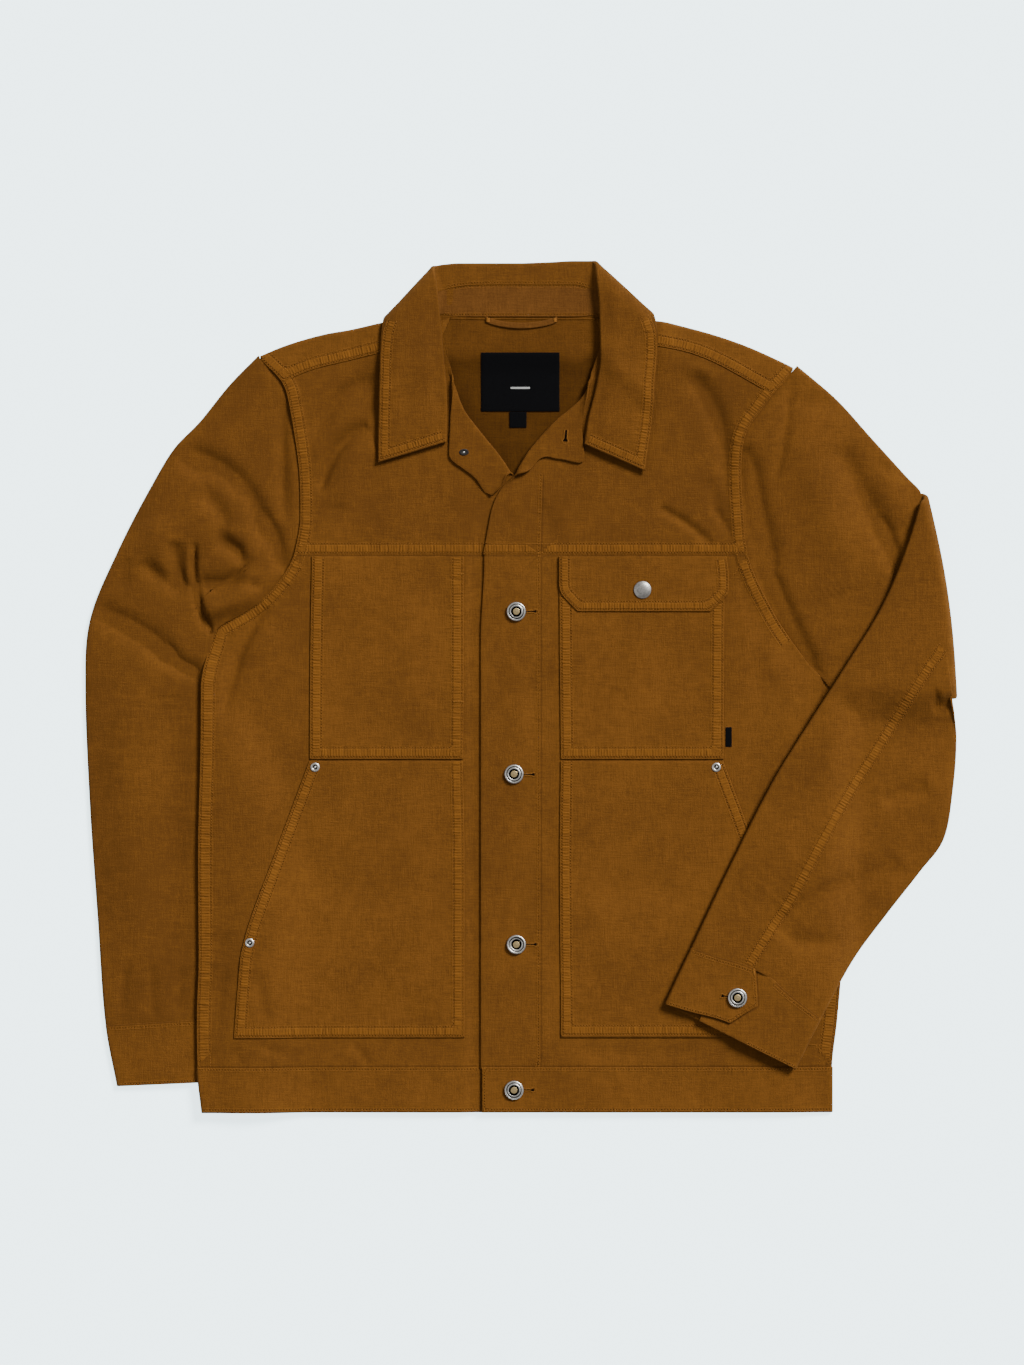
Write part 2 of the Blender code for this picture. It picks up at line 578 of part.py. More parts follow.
def sleeve_at(sleeve, side, creases, inwards=None, drawn=1.0):
    """Place on a sleeve: round it (g) and along it (a)."""
    armhole_top, armpit = sleeve[1][0][2], sleeve[1][0][4]

    def place(g, a):
        outer = Vector((read(sleeve, "outer_x", a), read(sleeve, "outer_y", a), 0))
        inner = Vector((read(sleeve, "inner_x", a), read(sleeve, "inner_y", a), 0))
        turn = math.radians(read(sleeve, "turn", a))
        across, up = section(g, (outer - inner).length,
                             read(sleeve, "front_puff", a), read(sleeve, "back_puff", a))
        if inwards:
            up -= math.copysign(inwards(g), up)
        share = across / (outer - inner).length
        point = inner.lerp(outer, share)
        cap = read(sleeve, "cap", a)
        if cap > 0:
            y = mix(armpit, armhole_top, share)
            chord = mix(sleeve[1][0][3], sleeve[1][0][1], share)
            gap = 3 * SEAM + 1.2 * ease(1 - share / 0.05)
            gap = -gap if side == "right" else gap
            cap **= mix(8, 1, ease(share / 0.4))
            point.x += cap * (read(BODY, side, y) + gap - chord)
        outward = Vector((inner.y - outer.y, outer.x - inner.x, 0)).normalized()
        outward *= 1 if outward.x > 0 else -1
        if side == "left":
            point += outward * read(CUFF_DRAWN, "up", g) * drawn * ease((a - 0.84) / 0.16)
        rise = ELBOW_RADIUS * (1 - math.cos(turn))
        if turn > 3.1 and a > 0.4:
            rest = under_forearm(point.x, point.y)
            rise = mix(2 * ELBOW_RADIUS, rest, ease((a - 0.4) / 0.06))
        if (up > 0) == (math.cos(turn) > 0):
            away = ease(min(across, (outer - inner).length - across) / 18)
            up += math.copysign(folds(creases, point.x, point.y) * away, up)
        plane = point + Vector((0, 0, TUBE_EDGE + CLOTH / 2 + rise))
        plane += outward * ELBOW_RADIUS * math.sin(turn)
        return plane + up * (Vector((0, 0, math.cos(turn))) - outward * math.sin(turn))
    return place


# ================================================================ collar
def collar_section(table, s):
    """Roll, neck, top and edge points of the collar, its middle height and its turn."""
    point = {n: Vector((read(table, n + "_x", s), read(table, n + "_y", s), 0))
             for n in ("neck", "top", "roll", "edge")}
    turn = math.radians(read(table, "turn", s))
    front = front_top(point["roll"].x, min(point["roll"].y, 320)) + 2.6
    height = mix(COLLAR_RADIUS + 1.0, front, (1 - math.cos(turn)) / 2)
    line = (point["edge"] - point["roll"]).normalized()
    outward = Vector((line.y, -line.x, 0))
    outward *= 1 if outward.y > 0 else -1
    normal = outward * math.sin(turn) - Vector((0, 0, math.cos(turn)))
    return point, height, line, normal


def collar_table(s):
    return (LEFT_COLLAR, s) if s >= 0 else (RIGHT_COLLAR, -s)


def stand_at(q, s):
    """Collar stand: from the neck seam (0) to its upper seam (1)."""
    point, height, _, normal = collar_section(*collar_table(s))
    flat = point["neck"].lerp(point["top"], q)
    return flat + Vector((0, 0, height)) - normal * COLLAR_RADIUS


def fall_at(q, s):
    """Collar fall: from the stand (0) to the roll (1), round it (2) and to its free edge (3)."""
    point, height, line, normal = collar_section(*collar_table(s))
    start = point["roll"] + line * COLLAR_RADIUS
    if q <= 1:
        onwards = (start - point["top"]).normalized()
        to_centre = Vector((math.copysign(1, -start.x), 0, 0))
        seam = onwards.lerp(to_centre, ease((normal.z - 0.3) * 2)) * 4 * SEAM
        short = 0.8 * ease((abs(s) - 0.31) / 0.04) * ease((0.52 - abs(s)) / 0.06)
        flat = (point["top"] + seam).lerp(start, mix(short, 1, q))
        return flat + Vector((0, 0, height)) - normal * COLLAR_RADIUS
    if q < 2:
        angle = (q - 1) * math.pi
        flat = start - line * COLLAR_RADIUS * math.sin(angle)
        return flat + Vector((0, 0, height)) - normal * COLLAR_RADIUS * math.cos(angle)
    flat = start.lerp(point["edge"], q - 2)
    return flat + Vector((0, 0, height)) + normal * COLLAR_RADIUS


# ================================================================ pieces, built
SLEEVE_STEPS = {
    "right": [0.0, 0.05, 0.10, 0.155, 0.21, 0.265, 0.32, 0.38, 0.44, 0.50, 0.56, 0.67, 0.78, 0.89, 1.0],
    "left": [0.0, 0.05, 0.10, 0.15, 0.20, 0.255, 0.30, 0.325, 0.35, 0.375, 0.40, 0.43, 0.46, 0.51,
             0.57, 0.63, 0.69, 0.75, 0.82, 0.91, 1.0],
}


def build_body():
    columns = [-233, -222, -208, -192, -176, -158, -136, -110, -88, -74, -66, -36, 0, 36,
               66, 74, 88, 112, 136, 162, 190, 218, 242]
    low_rows = [HEM_SEAM + SEAM, -260, -190, -130, -80, -45, -20, 2, 18, 32, 42, 50, 58, 68, 80, 92, 104]
    high_rows = [120, 138, 160, 184, 206, 226, 240, 262, 282, 300, 301, 302, 303, 304, 306]
    sheet("back", columns, low_rows + high_rows, back_at)

    right = [-285, -276, -266, -255, -244, -233, -221, -209, -198, -187, -168, -138, -105, -75,
             -54, -50, -46, -42, -37, UNDER_EDGE]
    left = [FRONT_EDGE, 0, 33, 70, 107, 143, 179, 205, 230, 245, 255, 264, 272, 280]
    rows = low_rows + [YOKE_SEAM - SEAM]
    sheet("right_front", right, rows, right_front_at)
    sheet("left_front", left, rows, left_front_at)

    across = spread(0, 0.72, 5) + [0.8, 0.85, 0.9, 0.94, 1.0]
    lapel = [1.25, 1.5, 1.75, 2.0, 2.5, 3.0]
    rows = [YOKE_SEAM, 128, 142, 155, 166, 174, 181, 188, 196, 206, 216, 229, 242, 252, 262, 273, 285]
    sheet("right_front_yoke", across + lapel, rows, yoke_at(RIGHT_LAPEL, "right", right_top))
    sheet("left_front_yoke", across + lapel, rows, yoke_at(LEFT_LAPEL, "left", front_top))

    around = (spread(0, 1, 16)[:-1] + spread(1, 2, 4)[:-1] + spread(2, 3, 14)[:-1]
              + spread(3, 4, 4)[:-1] + spread(4, 5, 10))
    rows = [HEM_EDGE, -355, HEM_SEAM]
    sheet("waistband", around, rows, waistband_at, BAND)


def build_pockets():
    even = spread(0, 1, 7)
    rows = spread(-64, 114.5, 6)
    sheet("right_chest_pocket", even, rows, patch_at(RIGHT_CHEST, right_top, 0))
    sheet("left_chest_pocket", even, rows, patch_at(LEFT_CHEST, front_top, 0))
    sheet("pocket_flap", spread(0, 1, 8), [66, 73, 81, 98, 114.5],
          patch_at(FLAP, front_top, REST + CLOTH))
    rows = [-309, -290, -268, -249, -230, -202, -174, -146, -119, -92, -65.5]
    outer = [0, 0.05, 0.10, 0.15, 0.20, 0.25, 0.32, 0.42, 0.55, 0.75, 1.0]
    sheet("right_hand_pocket", outer, rows, patch_at(RIGHT_HAND, right_top, 0))
    sheet("left_hand_pocket", [1 - v for v in reversed(outer)], rows, patch_at(LEFT_HAND, front_top, 0))


def build_sleeve(side, table, hind_seam, creases):
    at = sleeve_at(table, side, creases)
    edge_gap = 0.009

    def hind(a, way):
        across = (Vector((read(table, "outer_x", a), read(table, "outer_y", a)))
                  - Vector((read(table, "inner_x", a), read(table, "inner_y", a)))).length
        return 0.53 + 0.44 * (read(hind_seam, "share", a) + way * HIND_GAP / across)

    def over_at(u, a):
        return at(max(u, edge_gap) if u < 0.53 else mix(0.53, hind(a, -1), (u - 0.53) / 0.47), a)

    def under_at(u, a):
        return at(mix(hind(a, 1), 0.97, u) if u <= 1 else mix(0.97, 1 - edge_gap, u - 1), a)

    steps = SLEEVE_STEPS[side]
    over = [0, 0.015] + spread(0.03, 0.47, 9) + [0.485, 0.5, 0.515] + spread(0.53, 1.0, 5)
    under = spread(0, 1, 4) + [1.5, 2.0]
    sheet(side + "_sleeve_top", over, steps, over_at)
    sheet(side + "_sleeve_under", under, steps, under_at)


def build_cuff(side, table, lap_start, lap_end):
    """Cuff: one strip round the sleeve's end, its pointed end lapping over the other."""
    def inwards(e):
        return CUFF_TUCK * ease((lap_end + 0.06 - e) / 0.05)

    def place(e, row):
        g = e % 1.0
        drawn = 1.0 if e > 1.5 else 1 - row
        at = sleeve_at(table, side, (FOLD_COLUMNS, ()), lambda _: inwards(e), drawn)
        a = mix(1.0, 1.1, row)
        if e > 1.0 + lap_end - 0.001:
            g += TAB_POINT * (1 - abs(2 * row - 1))
        return at(g, a) + Vector((0, 0, (BAND - CLOTH) / 2))

    around = [lap_start, (lap_start + lap_end) / 2, lap_end, lap_end + 0.02, lap_end + 0.06, 0.89,
              0.97, 0.985, 1.0, 1.015, 1.03]
    around += spread(1.12, 1.38, 3) + [1.47, 1.485, 1.5, 1.515, 1.53]
    around += spread(1.56, 1.0 + lap_end, 4)
    sheet(side + "_cuff", around, [0.008, 0.27, 0.5, 0.76, 1.0], place, BAND)


def build_collar():
    along = [1.0, 0.89, 0.78, 0.66, 0.55, 0.45, 0.425, 0.40, 0.38, 0.36, 0.34, 0.32, 0.28, 0.20]
    rows = [-s for s in along] + [0.0] + along[::-1]
    sheet("collar_stand", [0, 0.5, 1], rows, stand_at)
    sheet("collar_fall", [0, 1, 1.25, 1.5, 1.75, 2, 2.33, 2.67, 3], rows, fall_at, COLLAR)


def build_labels():
    sheet("hanger_loop", spread(0, 1, 4), [0, 1], strip_at(-32, 30, 315.5, 323.5, back_top, LABEL),
          LABEL, "canvas inside")
    sheet("neck_label", spread(0, 1, 4), spread(0, 1, 5),
          strip_at(-36, 33, 242.4, 294, back_top, LABEL), LABEL, "label")
    sheet("size_tab", [0, 1], [0, 1], strip_at(-11, 4, 228, 242, back_top, LABEL), LABEL, "label")
    sheet("pocket_tab", [0, 1], [0, 1], strip_at(179.2, 184.5, -53, -36, front_top, LABEL),
          LABEL, "label")


def build_hardware():
    def on_front(x, y, above, top_of=front_top):
        return x, y, top_of(x, y) + above + SEAM

    patch = REST + CLOTH
    for name, x, y in FRONT_BUTTONS[1]:
        turned(name, BUTTON_PROFILE, on_front(x, y, BAND - CLOTH + 0.2), "silver")
    turned("flap_snap", SNAP_PROFILE, on_front(*SNAP_AT, 2 * patch), "pewter")
    for name, x, y in RIVETS[1]:
        turned(name, RIVET_PROFILE, on_front(x, y, patch + 0.3), "copper", 12)
    turned("lapel_tack_back", TACK_PROFILE,
           on_front(*TACK_BACK_AT, 2 * LAPEL_RADIUS + 0.3, right_top), "copper", 12)
    x, y = CUFF_BUTTON_AT
    top = 2 * (TUBE_EDGE + CLOTH / 2) + read(LEFT_SLEEVE, "back_puff", 1.05) + under_forearm(x, y)
    turned("left_cuff_button", BUTTON_PROFILE, (x, y, top + 0.4), "silver")


def main():
    for old in list(bpy.data.objects):
        bpy.data.objects.remove(old)
    build_body()
    build_pockets()
    build_sleeve("right", RIGHT_SLEEVE, RIGHT_HIND_SEAM, RIGHT_SLEEVE_FOLDS)
    build_sleeve("left", LEFT_SLEEVE, LEFT_HIND_SEAM, LEFT_SLEEVE_FOLDS)
    build_cuff("right", RIGHT_SLEEVE, 0.66, 0.74)
    build_cuff("left", LEFT_SLEEVE, 0.64, 0.73)
    build_collar()
    build_labels()
    build_hardware()
    jacket = bpy.data.collections.new(NAME)
    bpy.context.scene.collection.children.link(jacket)
    for piece in list(bpy.data.objects):
        for owner in list(piece.users_collection):
            owner.objects.unlink(piece)
        jacket.objects.link(piece)


if __name__ == "__main__":
    main()
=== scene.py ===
"""Looks of a cotton canvas trucker jacket laid flat: cloth, seams, stitches and metal.

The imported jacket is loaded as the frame.  Each cloth solid is replaced by a finer
sheet of the same form, with the folds, sewn bands and stitches of a worn jacket.
"Right" and "left" are the wearer's.  Lengths are millimetres in the row's frame.
"""

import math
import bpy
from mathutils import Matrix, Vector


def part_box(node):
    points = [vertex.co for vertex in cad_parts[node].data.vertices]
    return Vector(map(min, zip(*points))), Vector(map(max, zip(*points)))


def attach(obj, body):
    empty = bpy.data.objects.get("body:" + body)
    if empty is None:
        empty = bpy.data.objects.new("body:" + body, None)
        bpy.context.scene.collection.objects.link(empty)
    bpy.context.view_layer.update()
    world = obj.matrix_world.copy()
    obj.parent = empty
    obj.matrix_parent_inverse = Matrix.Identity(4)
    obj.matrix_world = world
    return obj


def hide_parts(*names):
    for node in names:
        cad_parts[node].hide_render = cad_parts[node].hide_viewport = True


bl_info = {
    "name": "Canvas Trucker Jacket",
    "version": (1, 0, 0),
    "blender": (4, 5, 0),
    "location": "View3D > Sidebar > Jacket",
    "description": "Builds a canvas trucker jacket laid flat, with seams, stitches and buttons",
    "category": "Object",
}

import bpy
import numpy as np
from bpy.props import FloatProperty, FloatVectorProperty, PointerProperty
from mathutils import Euler, Matrix, Vector
from mathutils.bvhtree import BVHTree

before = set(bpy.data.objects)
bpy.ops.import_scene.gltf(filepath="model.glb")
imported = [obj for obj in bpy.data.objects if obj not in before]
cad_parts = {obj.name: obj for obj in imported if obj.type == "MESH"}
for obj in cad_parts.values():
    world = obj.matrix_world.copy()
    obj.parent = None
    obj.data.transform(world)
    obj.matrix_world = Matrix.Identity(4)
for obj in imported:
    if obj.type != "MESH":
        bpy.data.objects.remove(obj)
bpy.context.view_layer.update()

MM = 0.001


class Table:
    """Rows of numbers under named columns; values once read are kept."""

    def __init__(self, names, rows):
        self.names, self.rows, self.known = names, rows, {}


# ---------------------------------------------------------------- walls and gaps
CLOTH = 1.5            # one layer of canvas with its seam turnings
BAND = 1.7             # waistband and cuffs, two layers pressed together
COLLAR = 1.9           # the collar fall, two layers and interlining
LABEL = 0.5            # woven labels
LOOP = 1.2             # the hanger loop, a folded tape
LABEL_BAR = (-10.0, 262.2, 7.0, 263.9)    # the plain bar woven into the neck label
SEAM = -0.2            # gap between two pieces sewn together: below 0, so they overlap
REST = 0.1             # under a piece that lies on a panel
PATCH = 1.1            # a pocket or flap
ARMHOLE_LAP = 1.3      # how far a sleeve passes under the body's edge
ARMHOLE_TUCK = 1.1     # how far its edge is pressed down there
ARMHOLE_BAND = 0.7     # how far the sewn band beside it stands up

# ---------------------------------------------------------------- heights
SIDE_TOP = 3.3         # top of the fronts at the side seams
MIDDLE_TOP = 6.2       # top of the fronts in the middle of the body
SHOULDER_TOP = 5.2     # top of the fold along the shoulders
ROUNDING = 40.0        # width over which the fronts round down to an edge
UNDERLAP_DROP = 2.0    # how far the right front dips to pass under the left
UNDERLAP_START = 17.0  # where that dip starts, outside the left front's edge
UNDERLAP_RAMP = 12.0   # and how wide its slope is
FRONT_TROUGH = -3.2    # no fold of the fronts is deeper than this
SLEEVE_TROUGH = -3.1   # nor one of the sleeves
SLEEVE_LIFT = 7.0      # how far the body climbs on to the right sleeve
COLLAR_LIFT = 2.6      # how far the back climbs on to the collar fall
TUBE_EDGE = 1.75       # from a sleeve's middle plane to its wall at the edges
ELBOW_RADIUS = 4.5     # middle plane of the left sleeve round its fold
FOREARM_REST = 8.9     # underside of the folded forearm over the left front
ARM_ON_ARM = 9.0       # underside of the folded forearm over the upper arm
BAND_BEND = 0.35       # inside of the waistband round its folds at the sides
BAND_PROUD = 0.55      # how far its left end stands up from the front
LAPEL_RADIUS = 1.05    # middle of the cloth round a lapel's roll
COLLAR_RADIUS = 1.15   # middle of the cloth round the collar's roll
SHOULDER_RADIUS = (SHOULDER_TOP - CLOTH) / 2
SHOULDER_DEPTH = SHOULDER_RADIUS + CLOTH / 2

# ---------------------------------------------------------------- body outline
HEM_SEAM = -335.0      # where the waistband is sewn on
HEM_EDGE = -375.0
YOKE_SEAM = 116.0      # lower edge of the front yokes
ARMPIT = 48.0
NECK_SEAM = 324.6
NECK_HALF = 70.0       # half of the back neck that lies flat
FRONT_EDGE = -36.5     # free edge of the left front, which laps over the right
FRONT_EDGE_TOP = -33.5     # the same at the yoke seam
UNDER_EDGE = 15.0      # free edge of the right front, hidden under the left
RIGHT_SHOULDER = -233.0    # shoulder points, where the armholes meet the shoulder fold
LEFT_SHOULDER = 242.0
FORWARD_END = {"right": 268.0, "left": 257.0}   # forward seams at the armholes
# Columns of the fronts: the one that follows the side edge, and the outermost that
# stays where it is drawn.
RIGHT_SIDE, RIGHT_STEADY = -285, -187
LEFT_SIDE, LEFT_STEADY = 280, 179
# Rows of the back are heights up to BACK_DRAWN, are then drawn towards the shoulder
# fold, go round it from FOLD_START to FOLD_END, and down to the forward seam.
BACK_DRAWN, FOLD_START, FOLD_END, SEAM_ROW = 240, 300, 304, 306
# Rows of the yokes are heights up to YOKE_DRAWN, then drawn to the forward seam.
YOKE_DRAWN, YOKE_TOP = 160, 285

# Side seams below the armpits and armhole seams above them.
BODY = Table(("y", "right", "left"), (
    (-375, -281, 273),
    (-340, -285, 273),
    (-291, -286, 278),
    (-240, -284.5, 281.5),
    (-144, -285, 278),
    (-60, -283, 272),
    (-12, -282.6, 273),
    (0, -282.6, 271.5),
    (18, -280, 254),
    (36, -274.8, 240.5),
    (52, -269, 229.5),
    (60, -255, 224.5),
    (70, -238, 219),
    (84, -222, 211.5),
    (108, -204, 201),
    (130, -197.5, 196.5),
    (150, -195, 195),
    (189, -196, 193),
    (227, -201, 199),
    (241, -203.5, 209),
    (258, -207, 221.5),
    (268, -211, 231),
    (290, -233, 250),
))

# Inner edge of the right sleeve, where it lies under the body.
SLEEVE_REACH = Table(("y", "x"), (
    (-375, -227), (-139, -229), (-69, -248), (-25, -275), (2, -283), (34, -283),
))

# Fold along the shoulders, as seen from the front.
SHOULDER = Table(("x", "y"), (
    (-240, 287), (-233, 290), (-209, 300), (-175, 310), (-150, 314.5), (-134, 318),
    (-122, 320.5), (-108, 321), (-90, 321), (-72, 320), (70, 321), (90, 321), (106, 322),
    (122, 321.5), (136, 318.5), (168, 310), (197, 300), (222, 289), (242, 279), (250, 274),
))

# Seam on the front where the back, brought over the shoulder, meets the yoke.
FORWARD_SEAM = Table(("x", "y"), (
    (-240, 252), (-210, 268), (-187, 278), (-156, 286), (-127, 293), (-99, 300), (-66, 309),
    (66, 307), (95, 303), (122, 299), (150, 293), (172, 284), (196, 271), (220, 257), (250, 238),
))

# Inner edge of each front yoke.  The edge strip starts at the roll and goes
# towards (edge_x, edge_y); fold is how far it turns back, 180 being a lapel.
RIGHT_LAPEL = Table(("v", "roll_x", "roll_y", "edge_x", "edge_y", "fold", "width"), (
    (116, 3, 116, 15, 116, 0, 12),
    (138, -1, 138, 9, 138, 0, 10),
    (155, -4, 155, 3, 155, 0, 7),
    (166, -5, 166, 0, 166, 0, 5),
    (174, -7, 175, -3, 176, 0, 4),
    (181, -10, 185, -8, 186, 0, 2),
    (184, -11, 187.5, -9, 188.5, 80, 2),
    (187, -12.5, 190, -15, 182, 165, 8),
    (189, -13.5, 191.5, -23, 169, 178, 24),
    (196, -18, 198, -40, 182, 180, 27),
    (206, -25, 207.5, -51.5, 191.5, 180, 31),
    (216, -33, 217, -62, 199.5, 180, 34),
    (229, -42.5, 229, -64, 214, 180, 26),
    (242, -52, 242, -63.5, 233, 180, 14),
    (262, -60.5, 264, -63, 262.5, 120, 3.5),
    (271, -66.5, 280, -64, 280, 0, 3),
    (285, -76, 308, -73, 308, 0, 3),
))
LEFT_LAPEL = Table(("v", "roll_x", "roll_y", "edge_x", "edge_y", "fold", "width"), (
    (116, -22, 116, -33, 116, 0, 11),
    (138, -18, 138, -29, 138, 0, 11),
    (160, -14, 161, -22, 164, 0, 9),
    (172, -10, 175, -14.5, 177.5, 0, 5),
    (180, -6, 183, -8, 184.2, 60, 2.5),
    (187, -1, 193, 6, 189, 165, 8),
    (196, 7, 206, 16, 201, 180, 11),
    (206, 16, 217, 32, 200, 180, 23),
    (216, 25, 227, 53.5, 197.5, 180, 41),
    (227, 33, 235, 54, 214, 180, 29.5),
    (242, 42, 242, 53, 230, 180, 16),
    (262, 57, 258, 60, 254, 120, 4),
    (271, 65, 276, 62, 276, 0, 3),
    (285, 75, 306, 72, 306, 0, 3),
))

# ---------------------------------------------------------------- sleeves
# Stations from the armhole (0) over the cuff seam (1) to the cuff's end (1.1):
# both edges, share of the armhole's curve, puff of each layer, turn of the fold.
SLEEVE_COLUMNS = ("a", "outer_x", "outer_y", "inner_x", "inner_y", "cap",
                  "front_puff", "back_puff", "turn")
RIGHT_SLEEVE = Table(SLEEVE_COLUMNS, (
    (0.00, -234, 291, -270.5, 52, 1.00, 1.2, 0, 0),
    (0.05, -259, 265, -271.5, 46, 0.80, 1.6, 0, 0),
    (0.10, -284, 233.5, -272.6, 40, 0.62, 2.0, 0, 0),
    (0.155, -307, 209, -274.2, 32, 0.45, 2.3, 0, 0),
    (0.21, -326, 177, -276, 24, 0.30, 2.6, 0, 0),
    (0.32, -356, 118, -279, 2, 0.08, 2.4, 0, 0),
    (0.44, -380, 58, -276, -25, 0.00, 1.8, 0, 0),
    (0.56, -384, -3, -250, -69, 0.00, 1.6, 0, 0),
    (0.70, -380, -104, -232, -139, 0.00, 1.6, 0, 0),
    (0.85, -373, -205, -229, -214, 0.00, 1.6, 0, 0),
    (1.00, -366, -299, -236, -291, 0.00, 1.4, 0, 0),
    (1.10, -356, -352, -225, -346, 0.00, 1.4, 0, 0),
))
LEFT_SLEEVE = Table(SLEEVE_COLUMNS, (
    (0.00, 238.5, 282, 268, -2, 1.00, 1.2, 0, 0),
    (0.09, 275, 252, 299, -4, 0.55, 2.0, 0, 0),
    (0.18, 307, 218, 334, -7, 0.18, 2.0, 0, 0),
    (0.26, 338.5, 184, 364, -9.5, 0.00, 1.0, 0, 0),
    (0.300, 350.5, 170.5, 376, -11, 0.00, 0.6, 0, 0),
    (0.325, 350.5, 168.5, 376, -11, 0.00, 0.4, 0.3, 45),
    (0.350, 350.5, 166.5, 376, -11, 0.00, 0.3, 0.5, 90),
    (0.375, 350.5, 163.5, 376, -11, 0.00, 0.2, 0.6, 135),
    (0.400, 350, 160, 376, -11, 0.00, 0.1, 0.9, 180),
    (0.46, 338, 121, 382, -45, 0.00, 0, 1.4, 180),
    (0.54, 316, 69, 379, -90, 0.00, 0, 1.8, 180),
    (0.62, 284, 17, 371, -134, 0.00, 0, 2.0, 180),
    (0.70, 250, -36, 350, -163, 0.00, 0, 2.0, 180),
    (0.79, 220, -85, 321, -200, 0.00, 0, 1.8, 180),
    (0.89, 183, -158, 290, -242, 0.00, 0, 1.6, 180),
    (1.00, 149, -230, 262, -292, 0.00, 0, 1.4, 180),
    (1.10, 126, -279, 240, -336, 0.00, 0, 1.4, 180),
))
# Hind seams of the sleeves, as a share of the back layer's width from the outer edge.
RIGHT_HIND_SEAM = Table(("a", "share"), ((0.0, 0.60), (0.4, 0.66), (1.0, 0.43)))
LEFT_HIND_SEAM = Table(("a", "share"), (
    (0.0, 0.60), (0.30, 0.72), (0.40, 0.765), (0.43, 0.69), (0.46, 0.605), (0.51, 0.525),
    (0.57, 0.465), (0.63, 0.437), (0.70, 0.445), (0.79, 0.47), (0.87, 0.487), (0.945, 0.455),
    (1.0, 0.435),
))
ELBOW = 0.35           # station of the left sleeve's fold
ELBOW_BOW = 4.6        # how far the left sleeve's fold bows outwards between its ends
# The way round a flattened sleeve: each half of an edge, and the back layer's ends.
CORNER = 0.03
BACK_START, BACK_END = 0.5 + CORNER, 1 - CORNER
TAB_POINT = 0.055      # how far a cuff's point reaches on, of the way round
CUFF_TUCK = 2.05       # how far a cuff's covered end lies inside the end that laps over it
# How far the left cuff is drawn up the forearm, by the place round it.
CUFF_DRAWN = Table(("g", "up"), ((0.53, 0), (0.60, 3.5), (0.70, 9.5), (0.76, 10.5), (0.84, 6), (0.97, 0)))

# ---------------------------------------------------------------- collar
# Sections from the centre back (0) to the front tip (1): neck seam, the stand's
# upper seam, the roll, the fall's free edge, and the turn round the neck.
COLLAR_COLUMNS = ("s", "neck_x", "neck_y", "top_x", "top_y", "roll_x", "roll_y",
                  "edge_x", "edge_y", "turn")
RIGHT_COLLAR = Table(COLLAR_COLUMNS, (
    (0.00, 0, 325.4, 0, 354, 0, 372, 0, 312, 0),
    (0.12, -30, 325.4, -30, 354, -30, 372, -33, 310, 0),
    (0.22, -53, 325.8, -52, 353, -55, 372, -64, 306, 0),
    (0.28, -66, 327, -64, 351, -68, 371, -92, 304, 0),
    (0.32, -70.5, 328, -69, 350, -74, 370, -109, 309, 12),
    (0.36, -76, 328, -76.5, 348, -78, 368, -119, 324, 90),
    (0.40, -81, 325, -79, 341, -76.5, 358, -122.5, 314, 150),
    (0.45, -85, 316, -79.5, 329, -74.5, 342, -124.2, 298, 180),
    (0.55, -87, 300, -78, 308, -72, 317, -125, 272, 180),
    (0.66, -85, 280, -76, 284, -69.5, 288, -125.7, 247, 180),
    (0.78, -82, 256, -74, 257, -67, 260, -126.2, 224, 180),
    (0.90, -77, 232, -72, 233, -66.8, 234, -126.4, 207, 180),
    (1.00, -73, 216, -70, 216, -67, 215, -126.4, 197, 180),
))
LEFT_COLLAR = Table(COLLAR_COLUMNS, (
    (0.00, 0, 325.4, 0, 354, 0, 372, 0, 312, 0),
    (0.12, 29, 325.4, 27, 354, 26, 373, 30, 310, 0),
    (0.22, 51, 325.8, 47, 354, 45, 374, 60, 306, 0),
    (0.28, 62, 327, 56, 352, 56, 374, 88, 304, 0),
    (0.32, 67, 328, 60, 351, 61, 374, 103, 309, 12),
    (0.36, 72, 328, 67.5, 349, 65, 372, 113, 328, 90),
    (0.40, 77, 325.5, 71.5, 340, 66, 359, 118.3, 314, 150),
    (0.45, 82, 315, 73, 328, 68, 342, 119, 296, 180),
    (0.55, 84, 300, 75, 308, 69, 318, 117, 270, 180),
    (0.66, 82, 280, 75, 284, 69.5, 290, 116, 247, 180),
    (0.78, 77, 256, 71, 258, 65.5, 262, 113.5, 224, 180),
    (0.90, 68, 232, 64, 234, 59, 236, 110.5, 206, 180),
    (1.00, 61, 216, 58, 215, 55.3, 213, 108.5, 189.5, 180),
))

# ---------------------------------------------------------------- pockets
# Right (x0) and left (x1) edge of each patch, from its bottom up.
RIGHT_CHEST = Table(("y", "x0", "x1"), ((-64, -187, -51.5), (30, -186.5, -51), (114.5, -185, -51)))
LEFT_CHEST = Table(("y", "x0", "x1"), ((-64, 34, 177.5), (30, 33, 178), (114.5, 32.5, 178.5)))
RIGHT_HAND = Table(("y", "x0", "x1"), (
    (-309, -253, -50.5), (-268, -250, -50.5), (-230, -246, -50.5), (-146, -217, -50.5), (-65, -187, -52),
))
LEFT_HAND = Table(("y", "x0", "x1"), (
    (-308, 34, 242), (-268, 34, 240), (-230, 33.5, 236), (-146, 33, 207), (-65, 34, 177),
))
FLAP = Table(("y", "x0", "x1"), (
    (66, 49, 166), (78.5, 36.9, 178.9), (82.5, 34, 182), (98, 32.5, 182), (114.5, 32.5, 180),
))

